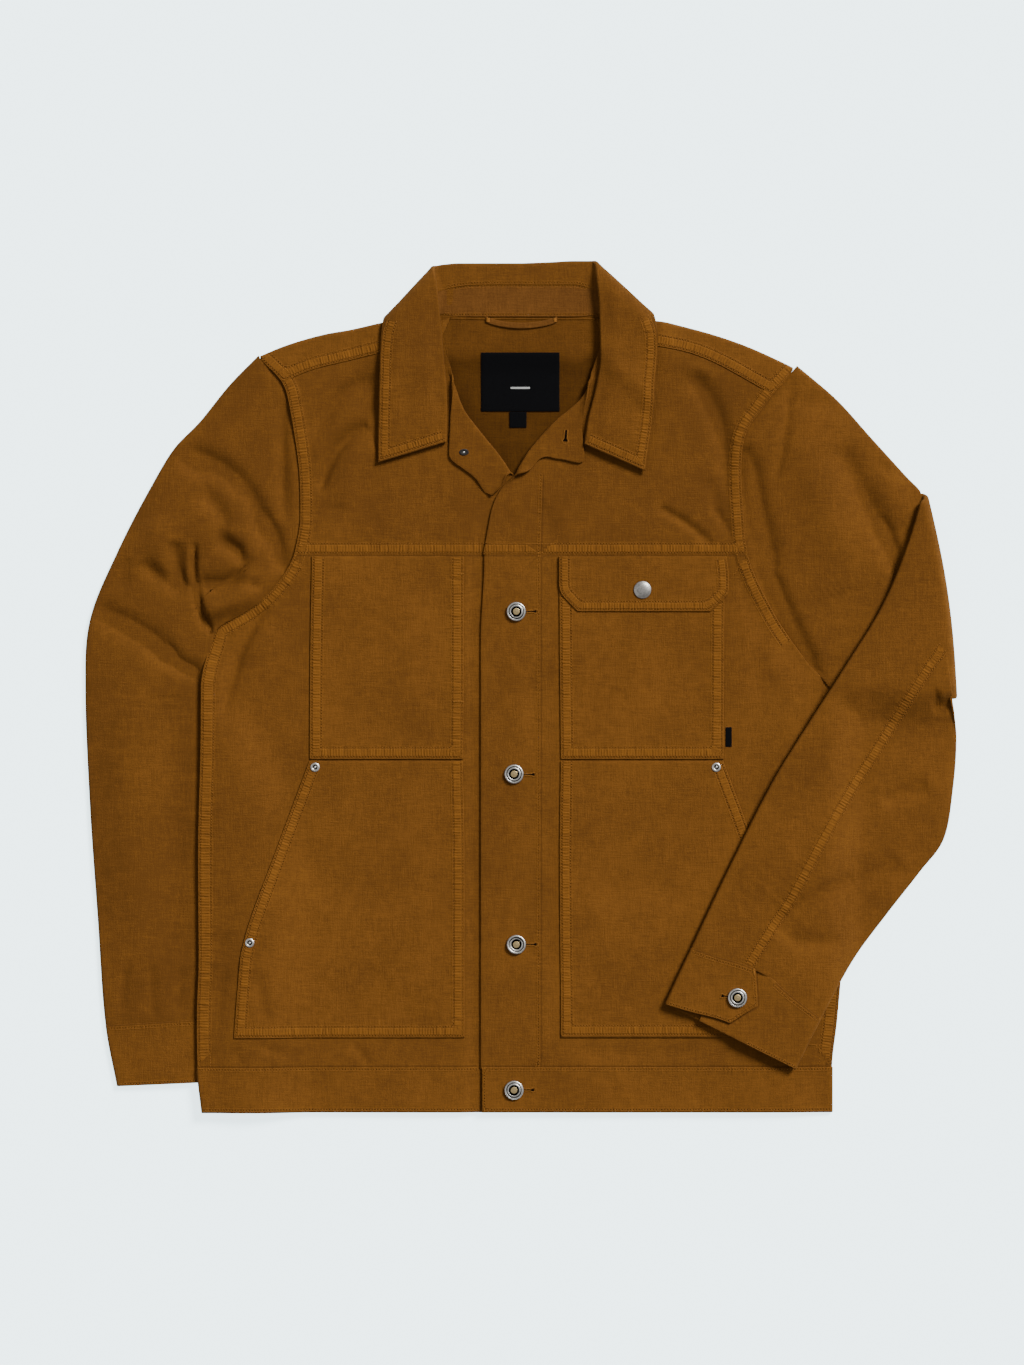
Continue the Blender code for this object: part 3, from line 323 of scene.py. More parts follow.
# ================================================================ folds
# Soft troughs (-) and ridges (+): three points of a bent line, width, height, and
# how far its steeper flank is on the left (+) or right (-) of the way it runs.
RIGHT_SLEEVE_CREASES = (
    ("swell of the pouch", (-300, 165), (-252, 132), (-250, 78), 26, 3.2, 0),
    ("swell outside the pleat", (-322, 150), (-318, 112), (-306, 84), 16, 2.4, 0),
    ("cut of the pleat", (-286, 126), (-290, 100), (-284, 66), 1.8, -3.0, 0),
    ("pit at the pleat's foot", (-281, 62), (-276, 54), (-273, 47), 3.2, -4.0, 0),
    ("pleat beside the pouch", (-288, 128), (-292, 89), (-276, 51), 4, -6.0, 0.35),
    ("lip of the pleat", (-291, 126), (-294, 108), (-292, 88), 3.5, 4.0, 0),
    ("hollow outside the lip", (-304, 128), (-308, 104), (-296, 84), 7, -5.0, 0),
    ("hollow below the lip", (-334, 112), (-318, 88), (-294, 90), 8, -4.8, 0),
    ("pouch over the armhole", (-282, 66), (-262, 70), (-232, 84), 9, 6.4, 0),
    ("hollow in the pouch", (-286, 92), (-262, 84), (-246, 104), 7, -5.2, 0),
    ("end of that hollow", (-245, 100), (-244, 124), (-272, 126), 7, -4.6, 0),
    ("small drag line in the pouch", (-264, 87), (-245, 93), (-228, 87), 4, -1.6, 0),
    ("drag line to the armhole", (-232, 154), (-214, 132), (-212, 98), 7, -5.0, 0),
    ("arc below the shoulder", (-303, 208), (-258, 196), (-238, 168), 10, -5.0, 0.2),
    ("arc's way down", (-242, 174), (-231, 156), (-226, 122), 8, -4.6, 0),
    ("inner arc", (-284, 172), (-262, 158), (-262, 138), 8, -3.6, 0),
    ("inner arc's end", (-266, 142), (-262, 122), (-244, 116), 7, -3.2, 0),
    ("drag line from the outer edge", (-306, 207), (-292, 198), (-276, 186), 8, -2.6, 0),
    ("elbow drag line", (-392, 72), (-336, 52), (-306, 22), 11, -5.0, 0),
    ("elbow drag line's end", (-319, 35), (-304, 16), (-278, 9), 8, -4.8, 0),
    ("hollow above the elbow", (-352, 115), (-356, 98), (-347, 85), 12, -2.0, 0),
    ("hollow along the armhole", (-209, 254), (-213, 204), (-209, 143), 6, -3.6, 0),
    ("long forearm hollow", (-310, -3), (-301, -117), (-310, -241), 15, -2.2, 0),
    ("long forearm ridge", (-347, -3), (-352, -135), (-336, -267), 18, 2.4, 0),
    ("gather at the cuff", (-352, -288), (-353, -267), (-347, -241), 5, -1.2, 0),
    ("middle gather at the cuff", (-327, -290), (-324, -267), (-327, -242), 5, -1.2, 0),
    ("inner gather at the cuff", (-301, -289), (-304, -271), (-298, -245), 5, -1.2, 0),
)
UPPER_ARM_CREASES = (
    ("swell of the upper arm", (258, 250), (258, 175), (285, 80), 30, 3.6, 0),
    ("swell beyond the hollow", (318, 190), (330, 165), (342, 140), 14, 2.2, 0),
    ("fold where the arm goes under", (312, 148), (324, 124), (338, 96), 8, -6.0, 0.2),
    ("pleat from the shoulder point", (238, 273), (236, 230), (223, 176), 4, -2.3, 0.3),
    ("hollow along the armhole", (196, 214), (202, 160), (219, 98), 10, -6.6, 0),
    ("hollow into the armpit", (210, 120), (224, 66), (264, 4), 8, -7.0, 0),
    ("long soft hollow", (281, 212), (296, 172), (322, 126), 10, -4.6, 0),
    ("soft ridge beside it", (245, 217), (258, 164), (289, 111), 16, 1.7, 0),
)
FOREARM_CREASES = (
    ("swell of the forearm", (338, -40), (300, -110), (222, -196), 26, 2.6, 0),
    ("hollow beside the hind seam", (222, -222), (244, -184), (292, -168), 8, -4.4, 0),
    ("end of that hollow", (285, -172), (312, -169), (334, -154), 9, -2.3, 0),
    ("small hollow below", (231, -220), (252, -229), (278, -222), 7, -2.1, 0),
    ("hollow at the elbow", (318, -104), (336, -92), (358, -87), 7, -3.2, 0),
    ("tuck at the elbow", (360, -16), (371, -19), (384, -11), 4, -5.0, 0),
    ("lip of the tuck", (364, -7), (373, -1), (382, 0), 4.5, 3.4, 0),
    ("long soft ridge", (306, -12), (262, -82), (196, -188), 13, 2.4, 0),
    ("drag line at the cuff", (159, -218), (169, -190), (190, -160), 8, -1.5, 0),
)
FRONT_CREASES = (
    ("line from under the right leaf", (-134, 230), (-166, 216), (-178, 168), 5, -4.6, 0.35),
    ("swell beside that line", (-128, 214), (-154, 200), (-162, 156), 11, 2.8, 0),
    ("swell outside that line", (-140, 246), (-176, 232), (-192, 176), 9, 1.9, 0),
    ("soft line above it", (-128, 270), (-162, 266), (-186, 214), 7, -3.4, 0),
    ("hollow beside the left armhole", (146, 276), (178, 244), (186, 164), 9, -4.4, 0),
    ("ridge below the left shoulder seam", (142, 279), (157, 286), (172, 271), 6, 1.6, 0),
    ("yoke drag line", (118, 158), (143, 148), (170, 122), 4, -2.6, 0),
    ("yoke drag line by the armhole", (167, 161), (174, 150), (185, 132), 4, -1.8, 0),
    ("short line above it", (165, 183), (168, 169), (172, 158), 6, -1.3, 0),
    ("right armpit line", (-222, 72), (-250, 42), (-262, -30), 6, -4.0, 0.3),
    ("swell beside the armpit line", (-216, 50), (-232, 22), (-240, -30), 14, 1.4, 0),
    ("hollow below the left armpit", (213, 83), (206, 41), (209, -14), 9, -1.3, 0),
    ("hollow by the right side", (-263, -248), (-265, -276), (-273, -306), 6, -1.4, 0),
    ("short line by the right side", (-273, -239), (-265, -230), (-260, -216), 4, -1.3, 0),
    ("line under the right pocket", (-233, -314), (-216, -324), (-194, -324), 3.5, -1.4, 0),
    ("short line at the right hem", (-254, -318), (-249, -325), (-246, -334), 3.5, -1.3, 0),
    ("short line at the middle hem", (-150, -313), (-141, -322), (-134, -334), 3.5, -1.3, 0),
    ("soft line across the left hem", (30, -319), (104, -327), (178, -320), 6, -0.8, 0),
    ("right waistband pucker", (-184, -362), (-177, -352), (-169, -340), 3, -1.0, 0),
    ("outer right waistband pucker", (-239, -363), (-232, -353), (-229, -341), 3, -0.8, 0),
    ("inner right waistband pucker", (-92, -366), (-83, -353), (-76, -342), 3, -1.0, 0),
    ("waistband pucker by the pocket", (-139, -363), (-133, -353), (-126, -344), 3, -0.6, 0),
    ("left waistband pucker", (78, -341), (81, -355), (79, -369), 3.5, -0.6, 0),
    ("outer left waistband pucker", (157, -341), (154, -355), (158, -369), 3.5, -0.6, 0),
    ("waistband pucker at the sleeve", (216, -341), (219, -355), (216, -369), 3.5, -0.6, 0),
    ("soft hollow on the right chest", (-181, -22), (-160, 23), (-150, 73), 14, -0.8, 0),
    ("soft ridge on the right chest", (-90, -37), (-106, 23), (-100, 85), 16, 1.0, 0),
    ("soft hollow on the right hand pocket", (-185, -188), (-169, -170), (-90, -192), 15, -1.0, 0),
    ("soft hollow in the pocket's corner", (-232, -248), (-231, -276), (-222, -295), 5, -1.3, 0),
    ("soft hollow on the left hand pocket", (60, -188), (113, -170), (148, -192), 15, -1.0, 0),
    ("soft ridge on the left chest", (104, -38), (113, 6), (100, 50), 16, 1.0, 0),
    ("hollow between placket and yoke", (16, 164), (23, 147), (26, 127), 7, -1.0, 0),
    ("bow of the placket", (-6, 28), (-10, -12), (-4, -49), 12, 0.8, 0),
)
NECK_CREASES = (
    ("soft ridge in the right neck", (-65, 294), (-62, 266), (-39, 242), 11, 1.2, 0),
    ("soft ridge in the left neck", (55, 300), (51, 268), (33, 243), 11, 1.2, 0),
    ("soft ridge under the labels", (-19, 217), (-6, 208), (11, 224), 10, 0.9, 0),
)


# ================================================================ small helpers
def read(table, column, at):
    """Value of a column of a table at a place given by its first column, smoothly."""
    if (column, at) not in table.known:
        table.known[column, at] = worked_out(table, column, at)
    return table.known[column, at]


def worked_out(table, column, at):
    """The same, worked out: a cubic between two rows that doesn't pass beyond them."""
    c, rows = table.names.index(column), table.rows
    if at <= rows[0][0]:
        return rows[0][c]
    if at >= rows[-1][0]:
        return rows[-1][c]
    i = next(k for k in range(len(rows) - 1) if at <= rows[k + 1][0])
    left, right = rows[i], rows[i + 1]
    step = right[0] - left[0]
    chord = (right[c] - left[c]) / step
    slopes = []
    for near, other in ((i, i - 1), (i + 1, i + 2)):
        if 0 <= other < len(rows):
            beyond = (rows[other][c] - rows[near][c]) / (rows[other][0] - rows[near][0])
            slopes.append((chord + beyond) / 2 if chord * beyond > 0 else 0.0)
        else:
            slopes.append(chord)
    t = (at - left[0]) / step
    return (left[c] * (1 + 2 * t) * (1 - t) ** 2 + right[c] * t * t * (3 - 2 * t)
            + step * (slopes[0] * t * (1 - t) ** 2 - slopes[1] * t * t * (1 - t)))


def point_at(table, name, at):
    """A point of a table, from its columns of x and y."""
    return read(table, name + "_x", at), read(table, name + "_y", at)


def ease(t):
    """0 below 0, 1 above 1 and a smooth S between."""
    t = min(max(t, 0.0), 1.0)
    return t * t * (3 - 2 * t)


def eased(values):
    """The same for an array."""
    values = np.clip(values, 0.0, 1.0)
    return values * values * (3 - 2 * values)


def mix(a, b, t):
    """The value a share t of the way from a to b."""
    return a + (b - a) * t


def spread(start, end, count):
    """Even steps from start to end, both included."""
    return [mix(start, end, k / count) for k in range(count + 1)]


def refined(values, longest):
    """A list of places with steps put in until none is longer than that."""
    fine = [values[0]]
    for start, end in zip(values, values[1:]):
        fine += spread(start, end, max(1, math.ceil(abs(end - start) / longest - 1e-6)))[1:]
    return fine


def linear(hexcode):
    """Scene colour of an sRGB hex code."""
    channels = [int(hexcode[k:k + 2], 16) / 255 for k in (1, 3, 5)]
    return tuple(v / 12.92 if v <= 0.04045 else ((v + 0.055) / 1.055) ** 2.4 for v in channels)


# ================================================================ body surfaces
def side_lift(x, y):
    """The body's right side climbs on to the right sleeve, which lies under it."""
    edge = read(SLEEVE_REACH, "x", y)
    return SLEEVE_LIFT * ease((46 - y) / 44) * ease((edge + 44 - x) / 52)


def neck_lift(x, y):
    """The back climbs on to the collar fall, folded under it."""
    return COLLAR_LIFT * ease((y - 272) / 26) * ease((152 - abs(x)) / 30)


def lift(x, y):
    """How far the body is raised by what lies under it."""
    return side_lift(x, y) + neck_lift(x, y)


def front_top(x, y):
    """Top of the fronts, without the underlap."""
    inwards = min(x - read(BODY, "right", y), read(BODY, "left", y) - x)
    rim = mix(SIDE_TOP, MIDDLE_TOP, ease((y - ARMPIT) / 60))
    flat = mix(rim, MIDDLE_TOP, ease(inwards / ROUNDING))
    near_shoulder = ease(1 - (read(SHOULDER, "y", x) - y) / ROUNDING)
    return lift(x, y) + mix(flat, SHOULDER_TOP, near_shoulder)


def left_edge(y):
    """Free edge of the left front, up to where its lapel starts."""
    if y < YOKE_SEAM:
        return mix(FRONT_EDGE, FRONT_EDGE_TOP, ease((y - 40) / 70))
    return min(read(LEFT_LAPEL, "edge_x", y), read(LEFT_LAPEL, "roll_x", y))


def right_top(x, y):
    """Top of the right front, dipping where the left one laps over it."""
    near = (x - left_edge(y) + UNDERLAP_START) / UNDERLAP_RAMP
    return front_top(x, y) - UNDERLAP_DROP * ease(near)


# ================================================================ body pieces
def squeezed(column, drawn_edge, steady, edge):
    """A column of a panel that is drawn up to one edge and has to end at another.

    Columns on the inner side of the steady line stay where they are drawn."""
    if (column - steady) * (drawn_edge - steady) <= 0:
        return column
    return steady + (column - steady) * (edge - steady) / (drawn_edge - steady)


def right_front_at(column, y):
    x = squeezed(column, RIGHT_SIDE, RIGHT_STEADY, read(BODY, "right", y))
    return x, y, right_top(x, y) - CLOTH / 2


def left_front_at(column, y):
    if column < 0:
        x = column * left_edge(y) / FRONT_EDGE
    else:
        x = squeezed(column, LEFT_SIDE, LEFT_STEADY, read(BODY, "left", y))
    return x, y, front_top(x, y) - CLOTH / 2


def back_at(column, row):
    """The back: flat up to the shoulders, then over them and down to the forward seam.

    Columns are places along the shoulders."""
    top = min(max((row - BACK_DRAWN) / (FOLD_START - BACK_DRAWN), 0.0), 1.0)
    front = max((row - FOLD_END) / (SEAM_ROW - FOLD_END), 0.0)
    ends = []
    for side, end_x in (("right", RIGHT_SHOULDER), ("left", LEFT_SHOULDER)):
        fold = read(SHOULDER, "y", end_x) - SHOULDER_DEPTH
        level = row if row <= BACK_DRAWN else mix(BACK_DRAWN, fold, top)
        level = mix(level, FORWARD_END[side], front)
        ends.append(read(BODY, side, level))
    x = mix(*ends, (column - RIGHT_SHOULDER) / (LEFT_SHOULDER - RIGHT_SHOULDER))
    if row <= BACK_DRAWN:
        return x, row, CLOTH / 2 + lift(x, row)
    over = ease((abs(column) - NECK_HALF) / 8)
    fold_y = read(SHOULDER, "y", x) - SHOULDER_DEPTH
    y = mix(BACK_DRAWN, mix(NECK_SEAM - 6, fold_y, over), top)
    flat = Vector((x, y, CLOTH / 2 + lift(x, y)))
    if row <= FOLD_START:
        return flat
    if row <= FOLD_END:
        angle = (row - FOLD_START) * math.pi / (FOLD_END - FOLD_START)
        folded = flat + SHOULDER_RADIUS * Vector((0, math.sin(angle), 1 - math.cos(angle)))
    else:
        y = mix(fold_y, read(FORWARD_SEAM, "y", x), front)
        folded = Vector((x, y, front_top(x, y) - CLOTH / 2))
    return (flat + Vector((0, row - FOLD_START, 0))).lerp(folded, over)


def roll_table(lapel):
    """A lapel's table with the way its strip sets out from the roll in place of its edge."""
    rows = []
    for row in lapel.rows:
        v, roll_x, roll_y, edge_x, edge_y, fold, width = row
        way = Vector((edge_x - roll_x, edge_y - roll_y)).normalized() * (-1 if fold > 90 else 1)
        rows.append((v, roll_x, roll_y, way.x, way.y, fold, width))
    return Table(("v", "roll_x", "roll_y", "way_x", "way_y", "fold", "width"), rows)


RIGHT_ROLL = roll_table(RIGHT_LAPEL)
LEFT_ROLL = roll_table(LEFT_LAPEL)


def yoke_at(lapel, side, top_of):
    """Front yoke: across from the armhole (0) to the roll (1), then round it to the free edge."""
    shoulder_end = FORWARD_END[side] - 3 * SEAM

    def place(column, row):
        roll = Vector((*point_at(lapel, "roll", row), 0))
        rise = max((row - YOKE_DRAWN) / (YOKE_TOP - YOKE_DRAWN), 0.0)
        armhole = read(BODY, side, mix(min(row, YOKE_DRAWN), shoulder_end, rise))
        if column <= 1:
            x = mix(armhole, roll.x, column)
            seam = read(FORWARD_SEAM, "y", x) - 3 * SEAM
            top_x = mix(read(BODY, side, shoulder_end), lapel.rows[-1][1], column)
            y = mix(min(row, YOKE_DRAWN), read(FORWARD_SEAM, "y", top_x) - 3 * SEAM, rise)
            y = mix(y, min(roll.y, seam), ease((column - 0.7) / 0.3))
            return x, y, top_of(x, y) - CLOTH / 2
        roll.z = top_of(roll.x, roll.y) - CLOTH / 2
        fold = math.radians(read(lapel, "fold", row))
        outward = Vector((*point_at(lapel, "way", row), 0)).normalized()
        part = min(column - 1, 1.0) * fold
        point = roll + LAPEL_RADIUS * (outward * math.sin(part) + Vector((0, 0, 1 - math.cos(part))))
        beyond = max(column - 2, 0.0) * read(lapel, "width", row)
        if fold < 0.2:
            beyond += min(column - 1, 1.0) * 1.2
        return point + beyond * (outward * math.cos(fold) + Vector((0, 0, math.sin(fold))))
    return place


def waistband_at(g, row):
    """Waistband: from the right front's hidden end round the back to the left front's end."""
    right, left = read(BODY, "right", row), read(BODY, "left", row)
    edge = BAND / 2 + BAND_BEND
    low = BAND / 2
    if g < 1:
        x = mix(UNDER_EDGE, right + edge, g)
        return x, row, max(right_top(x, row) - CLOTH / 2, low + 2 * edge + lift(x, row))
    if g < 2:
        angle = (g - 1) * math.pi
        x = right + edge
        return x - edge * math.sin(angle), row, low + edge * (1 + math.cos(angle)) + lift(x, row)
    if g <= 3:
        x = mix(right + edge, left - edge, g - 2)
        return x, row, low + lift(x, row)
    if g < 4:
        angle = (g - 3) * math.pi
        x = left - edge
        return x + edge * math.sin(angle), row, low + edge * (1 - math.cos(angle))
    x = mix(left - edge, FRONT_EDGE + 1, g - 4)
    return x, row, max(front_top(x, row) - CLOTH / 2 + BAND_PROUD, low + 2 * edge)


# ================================================================ what lies on the fronts
def patch_at(outline, top_of, above):
    """A patch on a front: the front's own points, moved out."""
    def place(column, row):
        x = mix(read(outline, "x0", row), read(outline, "x1", row), column)
        return x, row, top_of(x, row) + above + REST + PATCH / 2
    return place


def strip_at(x0, x1, y0, y1, top_of, thickness):
    """A flat label or tape lying on a surface."""
    def place(column, row):
        x, y = mix(x0, x1, column), mix(y0, y1, row)
        return x, y, top_of(x, y) + REST + thickness / 2
    return place


def back_top(x, y):
    """Upper side of the back, where it shows in the neck."""
    return CLOTH + lift(x, y)


# ================================================================ sleeves
def under_forearm(x, y):
    """Height of what the folded forearm lies on: the body, the upper arm, or the floor."""
    body = FOREARM_REST * ease((305 - x) / 40)
    armpit, elbow = Vector((268, -2)), Vector((376, -11))
    along = (elbow - armpit).normalized()
    above = along.x * (y - armpit.y) - along.y * (x - armpit.x)
    arm = ARM_ON_ARM * ease((above + 30) / 38)
    return max(0.4, (body ** 4 + arm ** 4) ** 0.25)


def section(g, width, front_puff, back_puff):
    """Across and up on a flattened tube.

    g goes once round: 0 on the inner edge, over the front layer, 0.5 on the outer
    edge, and back along the back layer."""
    if g < CORNER or g > BACK_END:
        angle = (g if g < 0.5 else g - 1) / CORNER * math.pi / 2
        return TUBE_EDGE * (1 - math.cos(angle)), TUBE_EDGE * math.sin(angle)
    if abs(g - 0.5) < CORNER:
        angle = (0.5 - g) / CORNER * math.pi / 2
        return width - TUBE_EDGE * (1 - math.cos(angle)), TUBE_EDGE * math.sin(angle)
    front = g < 0.5
    share = (g - CORNER if front else BACK_END - g) / (0.5 - 2 * CORNER)
    puff = (front_puff if front else back_puff) * math.sin(share * math.pi) ** 0.7
    across = TUBE_EDGE + share * (width - 2 * TUBE_EDGE)
    return across, (TUBE_EDGE + puff) * (1 if front else -1)


def sleeve_at(sleeve, side, inwards=None, drawn=1.0):
    """Place on a sleeve: round it (g) and along it (a)."""
    _, top_x, armhole_top, armpit_x, armpit = sleeve.rows[0][:5]

    def place(g, a):
        outer = Vector((*point_at(sleeve, "outer", a), 0))
        inner = Vector((*point_at(sleeve, "inner", a), 0))
        turn = math.radians(read(sleeve, "turn", a))
        across, up = section(g, (outer - inner).length,
                             read(sleeve, "front_puff", a), read(sleeve, "back_puff", a))
        if inwards:
            up -= math.copysign(inwards(g), up)
        share = across / (outer - inner).length
        point = inner.lerp(outer, share)
        cap = read(sleeve, "cap", a)
        if cap > 0:
            y = mix(armpit, armhole_top, share)
            chord = mix(armpit_x, top_x, share)
            lap = ARMHOLE_LAP if side == "right" else -ARMHOLE_LAP
            cap **= mix(8, 1, ease(share / 0.4))
            point.x += cap * (read(BODY, side, y) + lap - chord)
        outward = Vector((inner.y - outer.y, outer.x - inner.x, 0)).normalized()
        outward *= 1 if outward.x > 0 else -1
        if side == "left":
            point += outward * read(CUFF_DRAWN, "up", g) * drawn * ease((a - 0.84) / 0.16)
            point += (outward * ELBOW_BOW * math.sin(math.pi * share)
                      * ease((a - 0.20) / 0.10) * ease((0.54 - a) / 0.12))
        rise = ELBOW_RADIUS * (1 - math.cos(turn))
        if turn > 3.1 and a > 0.4:
            rest = under_forearm(point.x, point.y)
            rise = mix(2 * ELBOW_RADIUS, rest, ease((a - 0.4) / 0.06))
        plane = point + Vector((0, 0, TUBE_EDGE + CLOTH / 2 + rise))
        plane += outward * ELBOW_RADIUS * math.sin(turn)
        return plane + up * (Vector((0, 0, math.cos(turn))) - outward * math.sin(turn))
    return place


# ================================================================ collar
def collar_section(table, s):
    """Roll, neck, top and edge points of the collar, its middle height and its turn."""
    point = {name: Vector((*point_at(table, name, s), 0)) for name in ("neck", "top", "roll", "edge")}
    turn = math.radians(read(table, "turn", s))
    front = front_top(point["roll"].x, min(point["roll"].y, 320)) + 2.6
    height = mix(COLLAR_RADIUS + 1.0, front, (1 - math.cos(turn)) / 2)
    line = (point["edge"] - point["roll"]).normalized()
    outward = Vector((line.y, -line.x, 0))
    outward *= 1 if outward.y > 0 else -1
    normal = outward * math.sin(turn) - Vector((0, 0, math.cos(turn)))
    return point, height, line, normal


def collar_table(s):
    """The half of the collar that a place round it belongs to: above 0 is the left."""
    return (LEFT_COLLAR, s) if s >= 0 else (RIGHT_COLLAR, -s)


def stand_at(q, s):
    """Collar stand: from the neck seam (0) to its upper seam (1)."""
    point, height, _, normal = collar_section(*collar_table(s))
    flat = point["neck"].lerp(point["top"], q)
    return flat + Vector((0, 0, height)) - normal * COLLAR_RADIUS


def fall_at(q, s):
    """Collar fall: from the stand (0) to the roll (1), round it (2) and to its free edge (3)."""
    point, height, line, normal = collar_section(*collar_table(s))
    start = point["roll"] + line * COLLAR_RADIUS
    if q <= 1:
        onwards = (start - point["top"]).normalized()
        to_centre = Vector((math.copysign(1, -start.x), 0, 0))
        seam = onwards.lerp(to_centre, ease((normal.z - 0.3) * 2)) * 4 * SEAM
        flat = (point["top"] + seam).lerp(start, q)
        return flat + Vector((0, 0, height)) - normal * COLLAR_RADIUS
    if q < 2:
        angle = (q - 1) * math.pi
        flat = start - line * COLLAR_RADIUS * math.sin(angle)
        return flat + Vector((0, 0, height)) - normal * COLLAR_RADIUS * math.cos(angle)
    flat = start.lerp(point["edge"], q - 2)
    return flat + Vector((0, 0, height)) + normal * COLLAR_RADIUS


# ================================================================ folds and seams
def crease_height(places, creases):
    """Height that a table of folds adds at places, given as an array of x and y."""
    total = np.zeros(len(places))
    t = np.linspace(0, 1, 25)[:, None]
    for _, start, bend, end, width, height, lean in creases:
        start, bend, end = np.array(start), np.array(bend), np.array(end)
        line = (1 - t) ** 2 * start + 2 * t * (1 - t) * bend + t * t * end
        reach = 3 * width
        near = np.all((places > line.min(0) - reach) & (places < line.max(0) + reach), axis=1)
        if not near.any():
            continue
        offsets = places[near][:, None, :] - line[None]
        distances = np.sqrt((offsets ** 2).sum(2))
        closest = distances.argmin(1)
        rows = np.arange(len(closest))
        tangent = np.gradient(line, axis=0)[closest]
        away = offsets[rows, closest]
        side = np.sign(tangent[:, 0] * away[:, 1] - tangent[:, 1] * away[:, 0])
        fade = 1 - (2 * t[closest, 0] - 1) ** 4
        breadth = width * (1 - lean * side)
        total[near] += height * fade * np.exp(-(distances[rows, closest] / breadth) ** 2)
    return total


def unevenness(places, seed=0.0):
    """Slow rise and fall of cloth that was never pressed flat, from -1 to 1."""
    x, y = places[:, 0], places[:, 1]
    slow = np.sin(x / 37 + 1.7 * np.sin(y / 61 + seed)) * np.sin(y / 53 + 1.3 * np.sin(x / 71 + 2 * seed))
    quick = np.sin(x / 17 + 1.1 * np.sin(y / 23 + seed) + y / 29) * np.sin(y / 19 - x / 31 + seed)
    return 0.75 * slow + 0.25 * quick


def column_of(table, column, places):
    """A column of a table at many places along y."""
    stations = np.linspace(-380, 330, 400)
    values = [read(table, column, float(y)) for y in stations]
    return np.interp(places, stations, values)


SIDE_RAMP = 22.0             # folds of the fronts fade over this beside the sleeves and sides
SHOULDER_RAMP = 16.0         # and over this below the forward seams


def front_relief(places):
    """What the folds add to the fronts and to all that lies on them."""
    x, y = places[:, 0], places[:, 1]
    inwards = np.minimum(x - column_of(BODY, "right", y), column_of(BODY, "left", y) - x)
    stations = np.linspace(-260, 260, 200)
    shoulder = np.interp(x, stations, [read(FORWARD_SEAM, "y", float(s)) for s in stations])
    steady = eased(inwards / SIDE_RAMP) * eased((shoulder - y) / SHOULDER_RAMP)
    cloth = bpy.context.scene.jacket_cloth
    height = crease_height(places, FRONT_CREASES) * cloth.fold_depth
    height = (height + unevenness(places) * cloth.unevenness) * steady
    band = eased((13 - inwards) / 4) * eased((y - 62) / 20)
    return np.maximum(height, FRONT_TROUGH) + ARMHOLE_BAND * band


def back_relief(places):
    """Folds of the back's inner side, seen through the open neck."""
    steady = eased((60 - abs(places[:, 0])) / 20) * eased((places[:, 1] - 180) / 30)
    return crease_height(places, NECK_CREASES) * steady


def top_share(sleeve, g, a):
    """1 on the sleeve layer that lies on top, fading to 0 at the sleeve's edges."""
    turn = math.radians(read(sleeve, "turn", a))
    if (g % 1.0 < 0.5) != (math.cos(turn) > 0):
        return 0.0
    width = math.dist(point_at(sleeve, "outer", a), point_at(sleeve, "inner", a))
    across, _ = section(g % 1.0, width, 0, 0)
    return ease(min(across, width - across) / 14)


PATH_STEP = 4.0              # longest step of a rounded path


def smooth_path(points):
    """A path through points, rounded between them, in short steps."""
    points = [Vector(p) for p in points]
    fine = [points[0]]
    for i, (start, end) in enumerate(zip(points, points[1:])):
        before = points[i - 1] if i else start * 2 - end
        after = points[i + 2] if i + 2 < len(points) else end * 2 - start
        count = max(1, math.ceil((end - start).length / PATH_STEP))
        for k in range(1, count + 1):
            t = k / count
            fine.append(0.5 * (2 * start + (end - before) * t
                               + (2 * before - 5 * start + 4 * end - after) * t * t
                               + (3 * start - before - 3 * end + after) * t ** 3))
    return [tuple(p) for p in fine]


def offset_path(points, distance):
    """A path moved to its left, its corners kept sharp."""
    points = [Vector(p) for p in points]
    ways = [(end - start).normalized() for start, end in zip(points, points[1:])]
    moved = []
    for i, point in enumerate(points):
        before, after = ways[max(i - 1, 0)], ways[min(i, len(ways) - 1)]
        left = Vector((-before.y - after.y, before.x + after.x)).normalized()
        moved.append(point + left * distance / max(left.dot(Vector((-before.y, before.x))), 0.4))
    return moved


FAR_FROM_SEAMS = 60.0        # way across a seam that is given where none is near
SEAM_REACH = 30.0            # a seam is felt this far round its path
BAND_REACH = 24.0            # and this far across on its sewn side
PAST_END = 0.3               # a place this far past a path's end is beyond it


